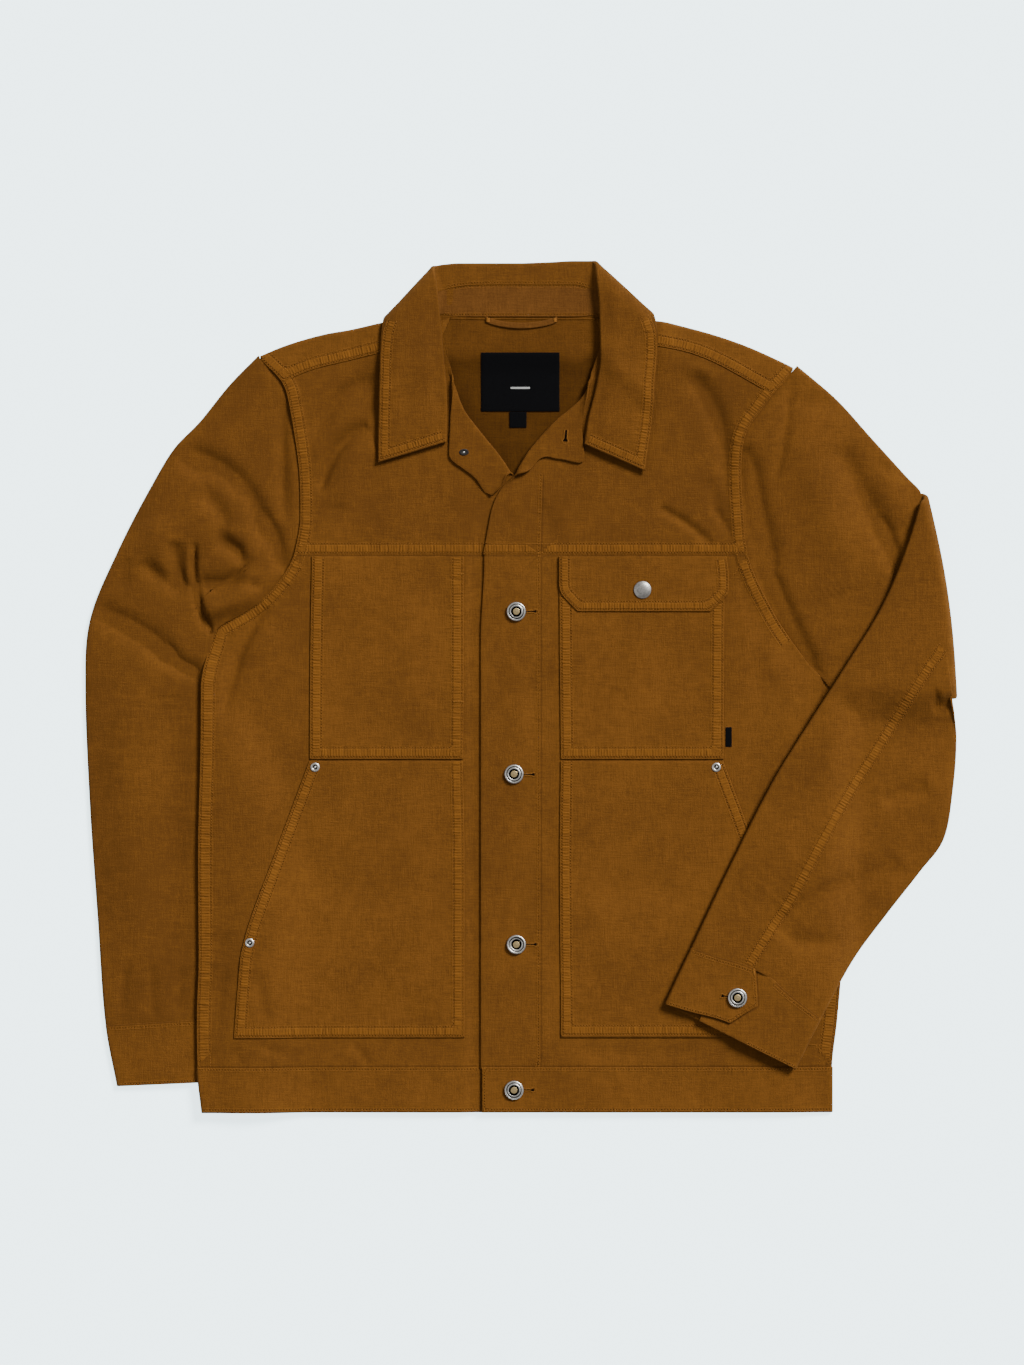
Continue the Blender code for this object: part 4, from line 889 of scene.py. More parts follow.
def seam_coordinates(places, seams):
    """Way along the nearest seam, way across it from its first row, and its rows' distance."""
    best = np.full(len(places), 1e9)
    found = np.tile(np.array([0.0, FAR_FROM_SEAMS, 0.0]), (len(places), 1))
    for points, rows in seams:
        line = np.array([tuple(p)[:2] for p in points])
        start, way = line[:-1], np.diff(line, axis=0)
        lengths = np.sqrt((way ** 2).sum(1))
        begun = np.concatenate([[0], np.cumsum(lengths)[:-1]])
        near = np.all((places > line.min(0) - SEAM_REACH) & (places < line.max(0) + SEAM_REACH), axis=1)
        if not near.any():
            continue
        offsets = places[near][:, None, :] - start[None]
        reached = (offsets * way).sum(2) / lengths ** 2
        share = np.clip(reached, 0, 1)
        away = offsets - share[..., None] * way
        distances = np.sqrt((away ** 2).sum(2))
        k = distances.argmin(1)
        each = np.arange(len(k))
        cross = way[k, 0] * away[each, k, 1] - way[k, 1] * away[each, k, 0]
        across = np.where(cross >= 0, 1, -1) * distances[each, k]
        past = (reached[each, k] - share[each, k]) * lengths[k]
        ended = ((k == 0) & (past < -PAST_END)) | ((k == len(start) - 1) & (past > PAST_END))
        across[ended] = FAR_FROM_SEAMS
        values = np.stack([begun[k] + share[each, k] * lengths[k], across - rows[0],
                           np.full(len(k), rows[-1] - rows[0])], axis=1)
        closer = distances[each, k] < best[near]
        chosen = np.flatnonzero(near)[closer]
        best[chosen] = distances[each, k][closer]
        found[chosen] = values[closer]
    found[found[:, 1] > BAND_REACH, 1] = FAR_FROM_SEAMS
    return found


# ================================================================ where it is sewn
# A seam's path has its sewn band on the left of the way it runs.  rows are the
# distances of its stitch rows from the path.
def down(table, column, start, end, step=12.0):
    """Points of a table's edge, from one height to another."""
    count = max(1, round(abs(end - start) / step))
    return [(read(table, column, y), y) for y in spread(start, end, count)]


def along_x(table, start, end, step=10.0):
    """Points of a table of heights, from one x to another."""
    count = max(1, round(abs(end - start) / step))
    return [(x, read(table, "y", x)) for x in spread(start, end, count)]


def patch_path(outline, top, bottom):
    """Down a patch's right edge, along its lower edge and up its left edge."""
    heights = spread(top, bottom, 10)
    return ([(read(outline, "x0", y), y) for y in heights]
            + [(read(outline, "x1", y), y) for y in reversed(heights)])


def leaf_path(table, mirrored):
    """The free edges of one collar leaf, the leaf on the left of the way."""
    tip = [point_at(table, "edge", s) for s in spread(0.36, 1.0, 14)]
    tip.append(point_at(table, "roll", 1.0))
    return tip[::-1] if mirrored else tip


def right_armhole():
    return smooth_path([(-232, 289)] + down(BODY, "right", 280, 52, 9.0))


def left_armhole():
    return smooth_path(down(BODY, "left", 40, 275, 9.0) + [(244, 280)])


PAIR = (1.6, 9.6)
SEAMS = {
    "right_yoke": ([(-199, YOKE_SEAM), (15, YOKE_SEAM)], PAIR),
    "left_yoke": ([(FRONT_EDGE_TOP, YOKE_SEAM), (199, YOKE_SEAM)], PAIR),
    "right_armhole": (right_armhole(), PAIR),
    "left_armhole": (left_armhole(), PAIR),
    "right_shoulder": (smooth_path(along_x(FORWARD_SEAM, -210, -70)), PAIR),
    "left_shoulder": (smooth_path(along_x(FORWARD_SEAM, 70, 220)), PAIR),
    "right_side": (down(BODY, "right", 50, HEM_SEAM), (2.0, 11.5)),
    "left_side": (down(BODY, "left", HEM_SEAM, -60), (2.0, 11.5)),
    "placket": ([(15, HEM_SEAM), (15, YOKE_SEAM)], (0.5,)),
    "yoke_placket": ([(15, YOKE_SEAM), (17, 188)], (0.5,)),
    "right_chest": (patch_path(RIGHT_CHEST, 114, -64), (1.9, 10.2)),
    "left_chest": (patch_path(LEFT_CHEST, 114, -64), (1.9, 10.2)),
    "flap": (patch_path(FLAP, 114, 66), (1.8, 8.6)),
    "right_hand": (patch_path(RIGHT_HAND, -66, -309), (1.8, 9.6)),
    "left_hand": (patch_path(LEFT_HAND, -66, -308), (1.8, 9.6)),
    "waistband_top": ([(275, HEM_SEAM), (FRONT_EDGE, HEM_SEAM)], (1.8,)),
    "waistband_top_under": ([(-38, HEM_SEAM), (-286, HEM_SEAM)], (1.8,)),
    "waistband_edge": ([(-282, HEM_EDGE), (273, HEM_EDGE)], (2.8,)),
    "waistband_end": ([(FRONT_EDGE, HEM_SEAM), (FRONT_EDGE, HEM_EDGE)], (3.4,)),
    "right_leaf": (leaf_path(RIGHT_COLLAR, False), (2.4, 9.2)),
    "left_leaf": (leaf_path(LEFT_COLLAR, True), (2.4, 9.2)),
}


# ================================================================ materials
def add(tree, kind, *values, **settings):
    """Add a shader node and return its first output.

    Values fill its inputs in order, as sockets or plain values; settings are its own."""
    node = tree.nodes.new("ShaderNode" + kind)
    for name, value in settings.items():
        setattr(node, name, value)
    inputs = [socket for socket in node.inputs if socket.enabled]
    for socket, value in zip(inputs, values):
        if isinstance(value, bpy.types.NodeSocket):
            tree.links.new(value, socket)
        elif value is not None:
            socket.default_value = value
    return next(socket for socket in node.outputs if socket.enabled)


def shades(colour, *shares):
    """Darker and paler versions of a colour."""
    return [(*[min(v * share, 1.0) for v in colour], 1.0) for share in shares]


def new_material(name, roughness, metallic=0.0, specular=0.5):
    """A Principled material; returns it with its tree, its shader and places in millimetres."""
    material = bpy.data.materials.new(name)
    material.use_nodes = True
    tree = material.node_tree
    shader = tree.nodes["Principled BSDF"]
    shader.inputs["Roughness"].default_value = roughness
    shader.inputs["Metallic"].default_value = metallic
    shader.inputs["Specular IOR Level"].default_value = specular
    position = add(tree, "TexCoord").node.outputs["Object"]
    places = add(tree, "Mapping", position, None, None, (1000, 1000, 1000))
    return material, tree, shader, places


def dress(tree, shader, colour, height):
    """Give a shader its colour and its relief, whose height is in millimetres."""
    tree.links.new(colour, shader.inputs["Base Color"])
    relief = add(tree, "Bump", 1.0, MM, 1.0, height)
    tree.links.new(relief, shader.inputs["Normal"])


WAVE = 0.314159              # scale of a wave texture whose stripes lie 1 mm apart


def canvas_material(name, base, worn, inside=None):
    """Garment-washed cotton duck, dyed after sewing: dull, each panel with its own depth
    of dye, paler on every raised edge and pucker along the seams, and slubbed.
    Painted shade darkens the stitch holes and rows, and a painted shadow line lies just
    outside each sewn edge.  An inside colour is given to what shows of the back through
    the open neck, as painted shade."""
    cloth = bpy.context.scene.jacket_cloth
    material, tree, shader, places = new_material(name, 0.92, specular=0.04)
    seam = add(tree, "Attribute", attribute_name="seam").node.outputs["Vector"]
    along, across, apart = add(tree, "SeparateXYZ", seam).node.outputs

    # Where the seam's band, its rows and its surroundings are.
    beyond = add(tree, "Math", across, apart, operation="SUBTRACT")
    begins = add(tree, "MapRange", across, -2.0, -0.8, 0.0, 1.0, interpolation_type="SMOOTHSTEP")
    ends = add(tree, "MapRange", beyond, 0.6, 2.0, 1.0, 0.0, interpolation_type="SMOOTHSTEP")
    band = add(tree, "Math", begins, ends, operation="MULTIPLY")
    outside = add(tree, "Math", add(tree, "Math", across, -1.0, operation="MULTIPLY"), beyond,
                  operation="MAXIMUM")
    around = add(tree, "MapRange", outside, 0.0, 11.0, 1.0, 0.0, interpolation_type="SMOOTHSTEP")
    to_row = add(tree, "Math", add(tree, "Math", across, operation="ABSOLUTE"),
                 add(tree, "Math", beyond, operation="ABSOLUTE"), operation="MINIMUM")
    groove = add(tree, "MapRange", to_row, 0.15, 1.3, 1.0, 0.0, interpolation_type="SMOOTHSTEP")
    beat = add(tree, "Math", add(tree, "Math", along, 2 * math.pi / cloth.stitch_pitch,
                                 operation="MULTIPLY"), operation="COSINE")
    hole = add(tree, "Math", groove, add(tree, "MapRange", beat, 0.3, 1.0, 0.0, 1.0),
               operation="MULTIPLY")

    # A painted shadow: the dark line just outside the sewn edge, where the upper piece's edge would cast
    # it.
    edge_shadow_line = add(tree, "MapRange", add(tree, "Math", add(tree, "Math", across, 2.5, operation="ADD"),
                                      operation="ABSOLUTE"), 0.3, 1.3, 1.0, 0.0,
                interpolation_type="SMOOTHSTEP")

    # Puckers: a short ridge across the band at each stitch, and broader uneven ones
    # that fan out beside it.
    drawn = add(tree, "CombineXYZ", add(tree, "Math", along, 0.30, operation="MULTIPLY"),
                add(tree, "Math", across, 0.05, operation="MULTIPLY"))
    pucker = add(tree, "Math", add(tree, "TexNoise", drawn, 1.0, 3.0, 0.62), 0.5, operation="SUBTRACT")
    ladder = add(tree, "Math", add(tree, "Math", beat, 0.16, pucker, operation="MULTIPLY_ADD"), band,
                 operation="MULTIPLY")
    fan = add(tree, "Math", pucker, around, operation="MULTIPLY")

    # Dye clouds 70 and 9 mm wide, slubs along both yarns, and a weave drawn 0.8 mm
    # wide, about twice the real yarn, so that it shows.
    patch = add(tree, "TexNoise", places, 1 / 70, 3.0, 0.6)
    grain = add(tree, "TexNoise", places, 1 / 9, 4.0, 0.65)
    warp, weft = [add(tree, "TexNoise", add(tree, "Mapping", places, None, None, scale), 1.0, 2.0, 0.6)
                  for scale in ((1.1, 0.07, 0.3), (0.07, 1.1, 0.3))]
    slubs = add(tree, "Math", add(tree, "Math", warp, weft, operation="ADD"), -1.0, operation="ADD")
    yarns = [add(tree, "Math", add(tree, "TexWave", places, WAVE / 1.6, 0.7, 1.0, bands_direction=way),
                 0.5, operation="SUBTRACT") for way in ("X", "Y")]
    weave = add(tree, "Math", *yarns, operation="MULTIPLY")
    fuzz = add(tree, "Math", add(tree, "TexNoise", places, 1.3, 2.0, 0.6), 0.5, operation="SUBTRACT")

    height = add(tree, "Math", band, 0.30, operation="MULTIPLY")
    for part, depth in ((fan, 0.8), (ladder, 0.55), (groove, -0.34), (hole, -0.3), (slubs, 0.15),
                        (weave, 0.12), (fuzz, 0.2)):
        height = add(tree, "Math", part, depth, height, operation="MULTIPLY_ADD")

    panel = add(tree, "Attribute", attribute_name="shade").node.outputs["Fac"]
    tone = add(tree, "Math", panel, 0.5, operation="ADD")
    tone = add(tree, "Math", add(tree, "Math", patch, -0.5, operation="ADD"), 1.1, tone,
               operation="MULTIPLY_ADD")
    grained = add(tree, "Math", grain, -0.5, operation="ADD")
    for part, depth in ((grained, 0.95), (slubs, 0.9), (weave, 0.4), (fuzz, 1.8)):
        tone = add(tree, "Math", part, depth, tone, operation="MULTIPLY_ADD")
    colour = add(tree, "Mix", tone, *shades(base, 0.74, 1.26), data_type="RGBA")
    wear = add(tree, "Math", ladder, 1.5, add(tree, "Math", band, 0.46, operation="MULTIPLY"),
               operation="MULTIPLY_ADD")
    wear = add(tree, "Math", fan, 0.5, wear, operation="MULTIPLY_ADD", use_clamp=True)
    colour = add(tree, "Mix", wear, colour, (*worn, 1.0), data_type="RGBA")
    # Painted shade in the stitch holes and row grooves, and the painted shadow line beside the sewn edge.
    painted_seam_shade = add(tree, "Math", hole, 0.55, add(tree, "Math", groove, 0.34, operation="MULTIPLY"),
               operation="MULTIPLY_ADD")
    painted_seam_shade = add(tree, "Math", edge_shadow_line, 0.34, painted_seam_shade, operation="MULTIPLY_ADD", use_clamp=True)
    colour = add(tree, "Mix", painted_seam_shade, colour, *shades(base, 0.25), data_type="RGBA")
    # Painted shade: where the back shows through the open neck it takes the darker inside colour, standing
    # in for the shade there.
    if inside:
        x, y, z = add(tree, "SeparateXYZ", places).node.outputs
        hidden = add(tree, "MapRange", add(tree, "Math", x, operation="ABSOLUTE"), 62.0, 76.0, 1.0, 0.0)
        hidden = add(tree, "Math", hidden, add(tree, "MapRange", y, 150.0, 190.0, 0.0, 1.0),
                     operation="MULTIPLY")
        hidden = add(tree, "Math", hidden, add(tree, "MapRange", z, 3.0, 5.0, 1.0, 0.0),
                     operation="MULTIPLY")
        kept = add(tree, "Mix", tone, *shades(inside, 0.74, 1.26), data_type="RGBA")
        colour = add(tree, "Mix", hidden, colour, kept, data_type="RGBA")
    dress(tree, shader, colour, height)
    return material


def thread_material(name, base):
    """Twisted cotton thread: a little paler and smoother than the canvas it sinks into."""
    material, tree, shader, places = new_material(name, 0.75, specular=0.1)
    fibres = add(tree, "TexNoise", places, 2.5, 2.0, 0.6)
    colour = add(tree, "Mix", fibres, *shades(base, 0.7, 1.35), data_type="RGBA")
    dress(tree, shader, colour, add(tree, "Math", fibres, 0.1, operation="MULTIPLY"))
    return material


def label_material(name, base, bar=None):
    """Damask woven of fine polyester: ribs 0.7 mm apart with a faint gloss, and one
    plain pale bar where its box is given."""
    material, tree, shader, places = new_material(name, 0.85, specular=0.03)
    ribs = add(tree, "TexWave", places, WAVE / 0.7, 0.4, bands_direction="Y")
    warp = add(tree, "TexNoise", add(tree, "Mapping", places, None, None, (1.6, 0.2, 0.3)), 1.0, 2.0)
    tone = add(tree, "Math", ribs, 0.5, add(tree, "Math", warp, 0.5, operation="MULTIPLY"),
               operation="MULTIPLY_ADD")
    colour = add(tree, "Mix", tone, *shades(base, 0.5, 1.7), data_type="RGBA")
    if bar:
        x, y, _ = add(tree, "SeparateXYZ", places).node.outputs
        x0, y0, x1, y1 = bar
        inside = add(tree, "Math", add(tree, "Math", x, (x0 + x1) / 2, (x1 - x0) / 2, operation="COMPARE"),
                     add(tree, "Math", y, (y0 + y1) / 2, (y1 - y0) / 2, operation="COMPARE"),
                     operation="MULTIPLY")
        colour = add(tree, "Mix", inside, colour, (*linear("#8F8F8C"), 1.0), data_type="RGBA")
    dress(tree, shader, colour, add(tree, "Math", ribs, 0.08, operation="MULTIPLY"))
    return material


def metal_material(name, base, tarnish, roughness):
    """Plated metal, tumbled: darker where the plating has stained
    and along its fine scratches."""
    material, tree, shader, places = new_material(name, roughness, metallic=1.0)
    stain = add(tree, "MapRange", add(tree, "TexNoise", places, 0.45, 3.0, 0.6), 0.42, 0.70, 0.0, 0.45)
    scratches = add(tree, "TexNoise", add(tree, "Mapping", places, None, None, (4.0, 0.5, 1.0)), 1.0, 3.0)
    share = add(tree, "Math", scratches, 0.3, stain, operation="MULTIPLY_ADD")
    colour = add(tree, "Mix", share, (*base, 1.0), (*tarnish, 1.0), data_type="RGBA")
    tree.links.new(add(tree, "MapRange", share, 0.0, 1.0, roughness, roughness + 0.3),
                   shader.inputs["Roughness"])
    dress(tree, shader, colour, add(tree, "Math", scratches, 0.03, operation="MULTIPLY"))
    return material


def hole_shade_material(name, base):
    """Painted shade: the dark inside of a hole or a cut."""
    material, tree, shader, places = new_material(name, 0.95, specular=0.02)
    shade_mottle = add(tree, "TexNoise", places, 1.0, 2.0)
    colour = add(tree, "Mix", shade_mottle, *shades(base, 0.6, 1.4), data_type="RGBA")
    dress(tree, shader, colour, add(tree, "Math", shade_mottle, 0.1, operation="MULTIPLY"))
    return material


def floor_material(name, base, glow):
    """Opal acrylic over a light box: even, pale, and brighter than what lies on it."""
    material, _, shader, _ = new_material(name, 0.9, specular=0.1)
    shader.inputs["Base Color"].default_value = (*base, 1.0)
    shader.inputs["Emission Color"].default_value = (*base, 1.0)
    shader.inputs["Emission Strength"].default_value = glow
    return material


FINISHES = {}


def finish(name):
    """The jacket's finishes, each made once from the colours in the panel."""
    if name not in FINISHES:
        colours = bpy.context.scene.jacket_colours
        makers = {
            "canvas": lambda: canvas_material("washed_duck_canvas", colours.canvas, colours.worn),
            "canvas_inside": lambda: canvas_material("inner_side_of_canvas", colours.inside, colours.worn),
            "canvas_back": lambda: canvas_material("washed_duck_canvas_of_the_back_with_painted_neck_shade", colours.canvas,
                                                   colours.worn, colours.neck_shade),
            "thread": lambda: thread_material("cotton_topstitching_thread", colours.thread),
            "label": lambda: label_material("woven_damask_label", colours.label),
            "neck_label": lambda: label_material("woven_damask_neck_label", colours.label, LABEL_BAR),
            "nickel": lambda: metal_material("tumbled_nickel_plate", colours.nickel, colours.tarnish, 0.30),
            "pewter": lambda: metal_material("antique_nickel_plate", colours.pewter, colours.tarnish, 0.36),
            "brass": lambda: metal_material("pressed_brass", colours.brass, colours.tarnish, 0.34),
            "gunmetal": lambda: metal_material("oxidised_brass", colours.tarnish, colours.label, 0.45),
            # Painted shade, put in holes and cuts.
            "hollow": lambda: hole_shade_material("painted_shade_of_a_hole", linear("#0B0703")),
            "floor": lambda: floor_material("opal_acrylic_floor", colours.floor, FLOOR_GLOW),
        }
        FINISHES[name] = makers[name]()
    return FINISHES[name]


# ================================================================ cloth, built
def settle(piece, replaced=()):
    """Put a piece on the root body and hide the parts it replaces."""
    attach(piece, "root")
    if replaced:
        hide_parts(*replaced)


def alone(piece):
    """Select one piece and make it active."""
    bpy.ops.object.select_all(action="DESELECT")
    piece.select_set(True)
    bpy.context.view_layer.objects.active = piece


def mesh_piece(name, places, faces):
    """An object from places in millimetres."""
    mesh = bpy.data.meshes.new(name)
    mesh.from_pydata((np.asarray(places) * MM).tolist(), [], faces)
    piece = bpy.data.objects.new(name, mesh)
    bpy.context.scene.collection.objects.link(piece)
    return piece


def grid_faces(rows, columns):
    """The squares between the places of a grid."""
    corner = np.arange(rows * columns).reshape(rows, columns)
    return np.stack([corner[:-1, :-1], corner[:-1, 1:], corner[1:, 1:], corner[1:, :-1]],
                    axis=-1).reshape(-1, 4).tolist()


def sheet(name, columns, rows, place, thickness=CLOTH, colour="canvas", slot=None, seams=(),
          relief=None, held="laid", shade=0.0):
    """A sewn sheet in place of a cloth solid: its grid, folds, wall, rounded edges and seams."""
    grid = np.array([[tuple(place(c, r)) for c in columns] for r in rows])
    if relief is not None:
        grid[..., 2] += relief(grid)
    piece = mesh_piece(name + "_cloth", grid.reshape(-1, 3), grid_faces(len(rows), len(columns)))
    alone(piece)
    wall = piece.modifiers.new("cloth wall", "SOLIDIFY")
    wall.thickness = thickness * MM
    wall.offset = 0.0
    bpy.ops.object.modifier_apply(modifier=wall.name)
    rim = piece.modifiers.new("folded edge", "BEVEL")
    rim.width = thickness * 0.36 * MM
    rim.segments = 2
    rim.angle_limit = math.radians(60)
    bpy.ops.object.modifier_apply(modifier=rim.name)
    bpy.ops.object.shade_smooth_by_angle(angle=math.radians(50))
    places = np.empty(len(piece.data.vertices) * 3)
    piece.data.vertices.foreach_get("co", places)
    places = places.reshape(-1, 3)[:, :2] / MM
    coordinates = seam_coordinates(places, [SEAMS[seam] for seam in seams])
    attribute = piece.data.attributes.new("seam", "FLOAT_VECTOR", "POINT")
    attribute.data.foreach_set("vector", coordinates.ravel())
    dye = piece.data.attributes.new("shade", "FLOAT", "POINT")
    dye.data.foreach_set("value", np.full(len(places), shade, dtype=np.float32))
    piece.data.materials.append(finish(colour))
    settle(piece, [name])
    return piece


def over_fronts(grid):
    """The fronts' folds under a grid of places."""
    return front_relief(grid.reshape(-1, 3)[:, :2]).reshape(grid.shape[:2])


def build_body():
    columns = refined([-233, -78, -70, 70, 78, 242], 4.4)
    low_rows = refined([HEM_SEAM - 1.5, 2, 18, 32, 42, 50, 58, 68, 80, 104], 5.0)
    high_rows = (refined([109, BACK_DRAWN, FOLD_START], 4.0) + refined([FOLD_START, FOLD_END], 0.5)[1:]
                 + refined([FOLD_END, SEAM_ROW], 0.15)[1:])

    def neck_folds(grid):
        """Folds inside the neck, and the shoulder band that laps over the front yokes."""
        added = back_relief(grid.reshape(-1, 3)[:, :2]).reshape(grid.shape[:2])
        rows = np.array(low_rows + high_rows)
        added[rows > FOLD_START] = 0
        in_front = rows > FOLD_END
        added[in_front] += ARMHOLE_BAND * eased((rows[in_front, None] - FOLD_END) / 1.2)
        return added

    sheet("back", columns, low_rows + high_rows, back_at, colour="canvas_back", slot="canvas",
          relief=neck_folds,
          seams=("right_armhole", "left_armhole", "right_shoulder", "left_shoulder", "right_side",
                 "left_side"))

    right = refined([RIGHT_SIDE, RIGHT_STEADY, -54, -50, -46, -42, -37, UNDER_EDGE], 3.2)
    left = refined([FRONT_EDGE, 33, LEFT_STEADY, LEFT_SIDE], 3.2)
    rows = refined([HEM_SEAM - 1.5, -20, 32, 58, 80, YOKE_SEAM - SEAM], 3.2)
    sheet("right_front", right, rows, right_front_at, relief=over_fronts, shade=-0.12,
          seams=("right_armhole", "right_side", "right_yoke", "waistband_top_under"))
    sheet("left_front", left, rows, left_front_at, relief=over_fronts, shade=-0.06,
          seams=("left_armhole", "left_side", "placket", "left_yoke", "waistband_top"))

    across = refined([0, 1], 0.0125)
    lapel = refined([1, 2], 0.125)[1:] + refined([2, 3], 0.1)[1:]
    rows = refined([YOKE_SEAM, 155, 174, 181, 188, 196, 262, YOKE_TOP], 2.3)
    sheet("right_front_yoke", across + lapel, rows, yoke_at(RIGHT_ROLL, "right", right_top),
          relief=over_fronts, seams=("right_yoke", "right_armhole"), held="folded", shade=-0.22)
    sheet("left_front_yoke", across + lapel, rows, yoke_at(LEFT_ROLL, "left", front_top),
          relief=over_fronts, seams=("left_yoke", "left_armhole", "yoke_placket"), held="folded",
          shade=-0.22)

    around = refined([0, 1], 0.012) + refined([1, 2], 0.125)[1:] + refined([2, 3], 0.012)[1:]
    around += refined([3, 4], 0.125)[1:] + refined([4, 5], 0.012)[1:]
    rows = refined([HEM_EDGE, HEM_SEAM], 2.5)
    in_front = np.array([g < 1 or g > 4 for g in around], dtype=float)
    sheet("waistband", around, rows, waistband_at, BAND, held="folded",
          relief=lambda grid: over_fronts(grid) * in_front,
          seams=("waistband_top", "waistband_top_under", "waistband_edge", "waistband_end"))


def build_pockets():
    def patch(name, outline, top_of, heights, seam, above=0.0):
        width = read(outline, "x1", heights[0]) - read(outline, "x0", heights[0])
        sheet(name, refined([0, 1], 3.0 / width), refined(heights, 3.0),
              patch_at(outline, top_of, above), PATCH, relief=over_fronts, seams=(seam,))

    patch("right_chest_pocket", RIGHT_CHEST, right_top, [-64, 114.5], "right_chest")
    patch("left_chest_pocket", LEFT_CHEST, front_top, [-64, 114.5], "left_chest")
    patch("pocket_flap", FLAP, front_top, [66, 81, 98, 114.5], "flap", REST + PATCH)
    patch("right_hand_pocket", RIGHT_HAND, right_top, [-309, -230, -65.5], "right_hand")
    patch("left_hand_pocket", LEFT_HAND, front_top, [-309, -230, -65.5], "left_hand")


def build_sleeve(side, table, hind_share, upper, lower):
    """Both parts of a sleeve; upper and lower are the folds above and below the elbow."""
    at = sleeve_at(table, side)
    edge_gap = 0.009

    def hind(a, way):
        across = math.dist(point_at(table, "outer", a), point_at(table, "inner", a))
        share = read(hind_share, "share", a) + way * SEAM / 2 / across
        return BACK_START + (0.5 - 2 * CORNER) * share

    def over_g(u, a):
        if u < BACK_START:
            return max(u, edge_gap)
        return mix(BACK_START, hind(a, -1), (u - BACK_START) / (1 - BACK_START))

    def under_g(u, a):
        return mix(hind(a, 1), BACK_END, u) if u <= 1 else mix(BACK_END, 1 - edge_gap, u - 1)

    steps = refined([0, 0.03, 0.30, 0.40, 1.0], 0.0042)
    if side == "left":
        hind_seam = smooth_path([tuple(at(hind(a, -1), a))[:2] for a in spread(0.40, 1.0, 24)])
        SEAMS["left_hind"] = (hind_seam[::-1], PAIR)

    def folds_of(g_of, columns):
        def added(grid):
            places = grid.reshape(-1, 3)[:, :2]
            share = np.array([[top_share(table, g_of(u, a), a) for u in columns] for a in steps])
            above = np.array([[a < ELBOW] * len(columns) for a in steps])
            depth = bpy.context.scene.jacket_cloth.fold_depth
            height = np.where(above, crease_height(places, upper).reshape(above.shape),
                              crease_height(places, lower).reshape(above.shape)) * depth
            height += 0.7 * unevenness(places, 2.0).reshape(above.shape)
            under_band = np.array([[ease(1 - a / 0.014)] * len(columns) for a in steps])
            return np.maximum(height, SLEEVE_TROUGH) * share - ARMHOLE_TUCK * under_band * share
        return added

    over = refined([0, 0.03], 0.0075) + refined([0.03, 0.47], 0.0062)[1:]
    over += refined([0.47, BACK_START], 0.0075)[1:] + refined([BACK_START, 1.0], 0.022)[1:]
    under = refined([0, 1], 0.05) + refined([1, 2], 0.25)[1:]
    sheet(side + "_sleeve_top", over, steps, lambda u, a: at(over_g(u, a), a), held="folded",
          relief=folds_of(over_g, over), seams=("left_hind",) if side == "left" else (),
          shade=-0.26 if side == "right" else -0.05)
    sheet(side + "_sleeve_under", under, steps, lambda u, a: at(under_g(u, a), a), held="folded",
          relief=folds_of(under_g, under))


def build_cuff(side, table, lap_start, lap_end):
    """Cuff: one strip round the sleeve's end, its pointed end lapping over the other."""
    def inwards(e):
        return CUFF_TUCK * ease((lap_end + 0.06 - e) / 0.05)

    def place(e, row):
        g = e % 1.0
        at = sleeve_at(table, side, lambda _: inwards(e), 1.0 if e > 1.5 else 1 - row)
        a = mix(1.0, 1.1, row)
        point_share = ease((e - 1.0 - lap_end + 0.06) / 0.06) if side == "left" else (
            1.0 if e > 1.0 + lap_end - 0.001 else 0.0)
        g += TAB_POINT * (1 - abs(2 * row - 1)) * point_share
        return at(g, a) + Vector((0, 0, (BAND - CLOTH) / 2))

    around = refined([lap_start, lap_end, lap_end + 0.02, lap_end + 0.06, 0.89, 0.97], 0.012)
    around += refined([0.97, 1.03], 0.0075)[1:] + refined([1.03, 1.47], 0.012)[1:]
    around += refined([1.47, 1.53], 0.0075)[1:] + refined([1.53, 1.0 + lap_end], 0.012)[1:]
    rows = refined([-0.02, 0.27, 0.5, 0.76, 1.0], 0.045)
    # The cuff's stitches run over the layer that lies on top.
    ends = (1 + BACK_START, 1 + lap_end) if side == "left" else (1 + CORNER, 1.5 - CORNER)
    ring = refined(ends, 0.02)
    top = [tuple(place(e, 0.008))[:2] for e in ring]
    edge = [tuple(place(e, 1.0))[:2] for e in ring]
    seams = {"top": (top, edge), "edge": (edge, top)}
    if side == "left":
        end = [tuple(place(1.0 + lap_end, row))[:2] for row in spread(0.008, 1.0, 8)]
        seams["end"] = (end, [(x - 20, y) for x, y in end])
        rest = refined([lap_end + 0.07, BACK_END], 0.02)
        for name, row, other in (("rest_top", 0.008, 1.0), ("rest_edge", 1.0, 0.008)):
            seams[name] = ([tuple(place(e, row))[:2] for e in rest],
                           [tuple(place(e, other))[:2] for e in rest])
    named = []
    for name, (path, towards) in seams.items():
        middle = len(path) // 2
        way = Vector(path[middle]) - Vector(path[middle - 1])
        inward = Vector(towards[middle]) - Vector(path[middle])
        if way.x * inward.y - way.y * inward.x < 0:
            path = path[::-1]
        SEAMS[side + "_cuff_" + name] = (path, (2.0,))
        named.append(side + "_cuff_" + name)
    sheet(side + "_cuff", around, rows, place, BAND, seams=named, held="folded")


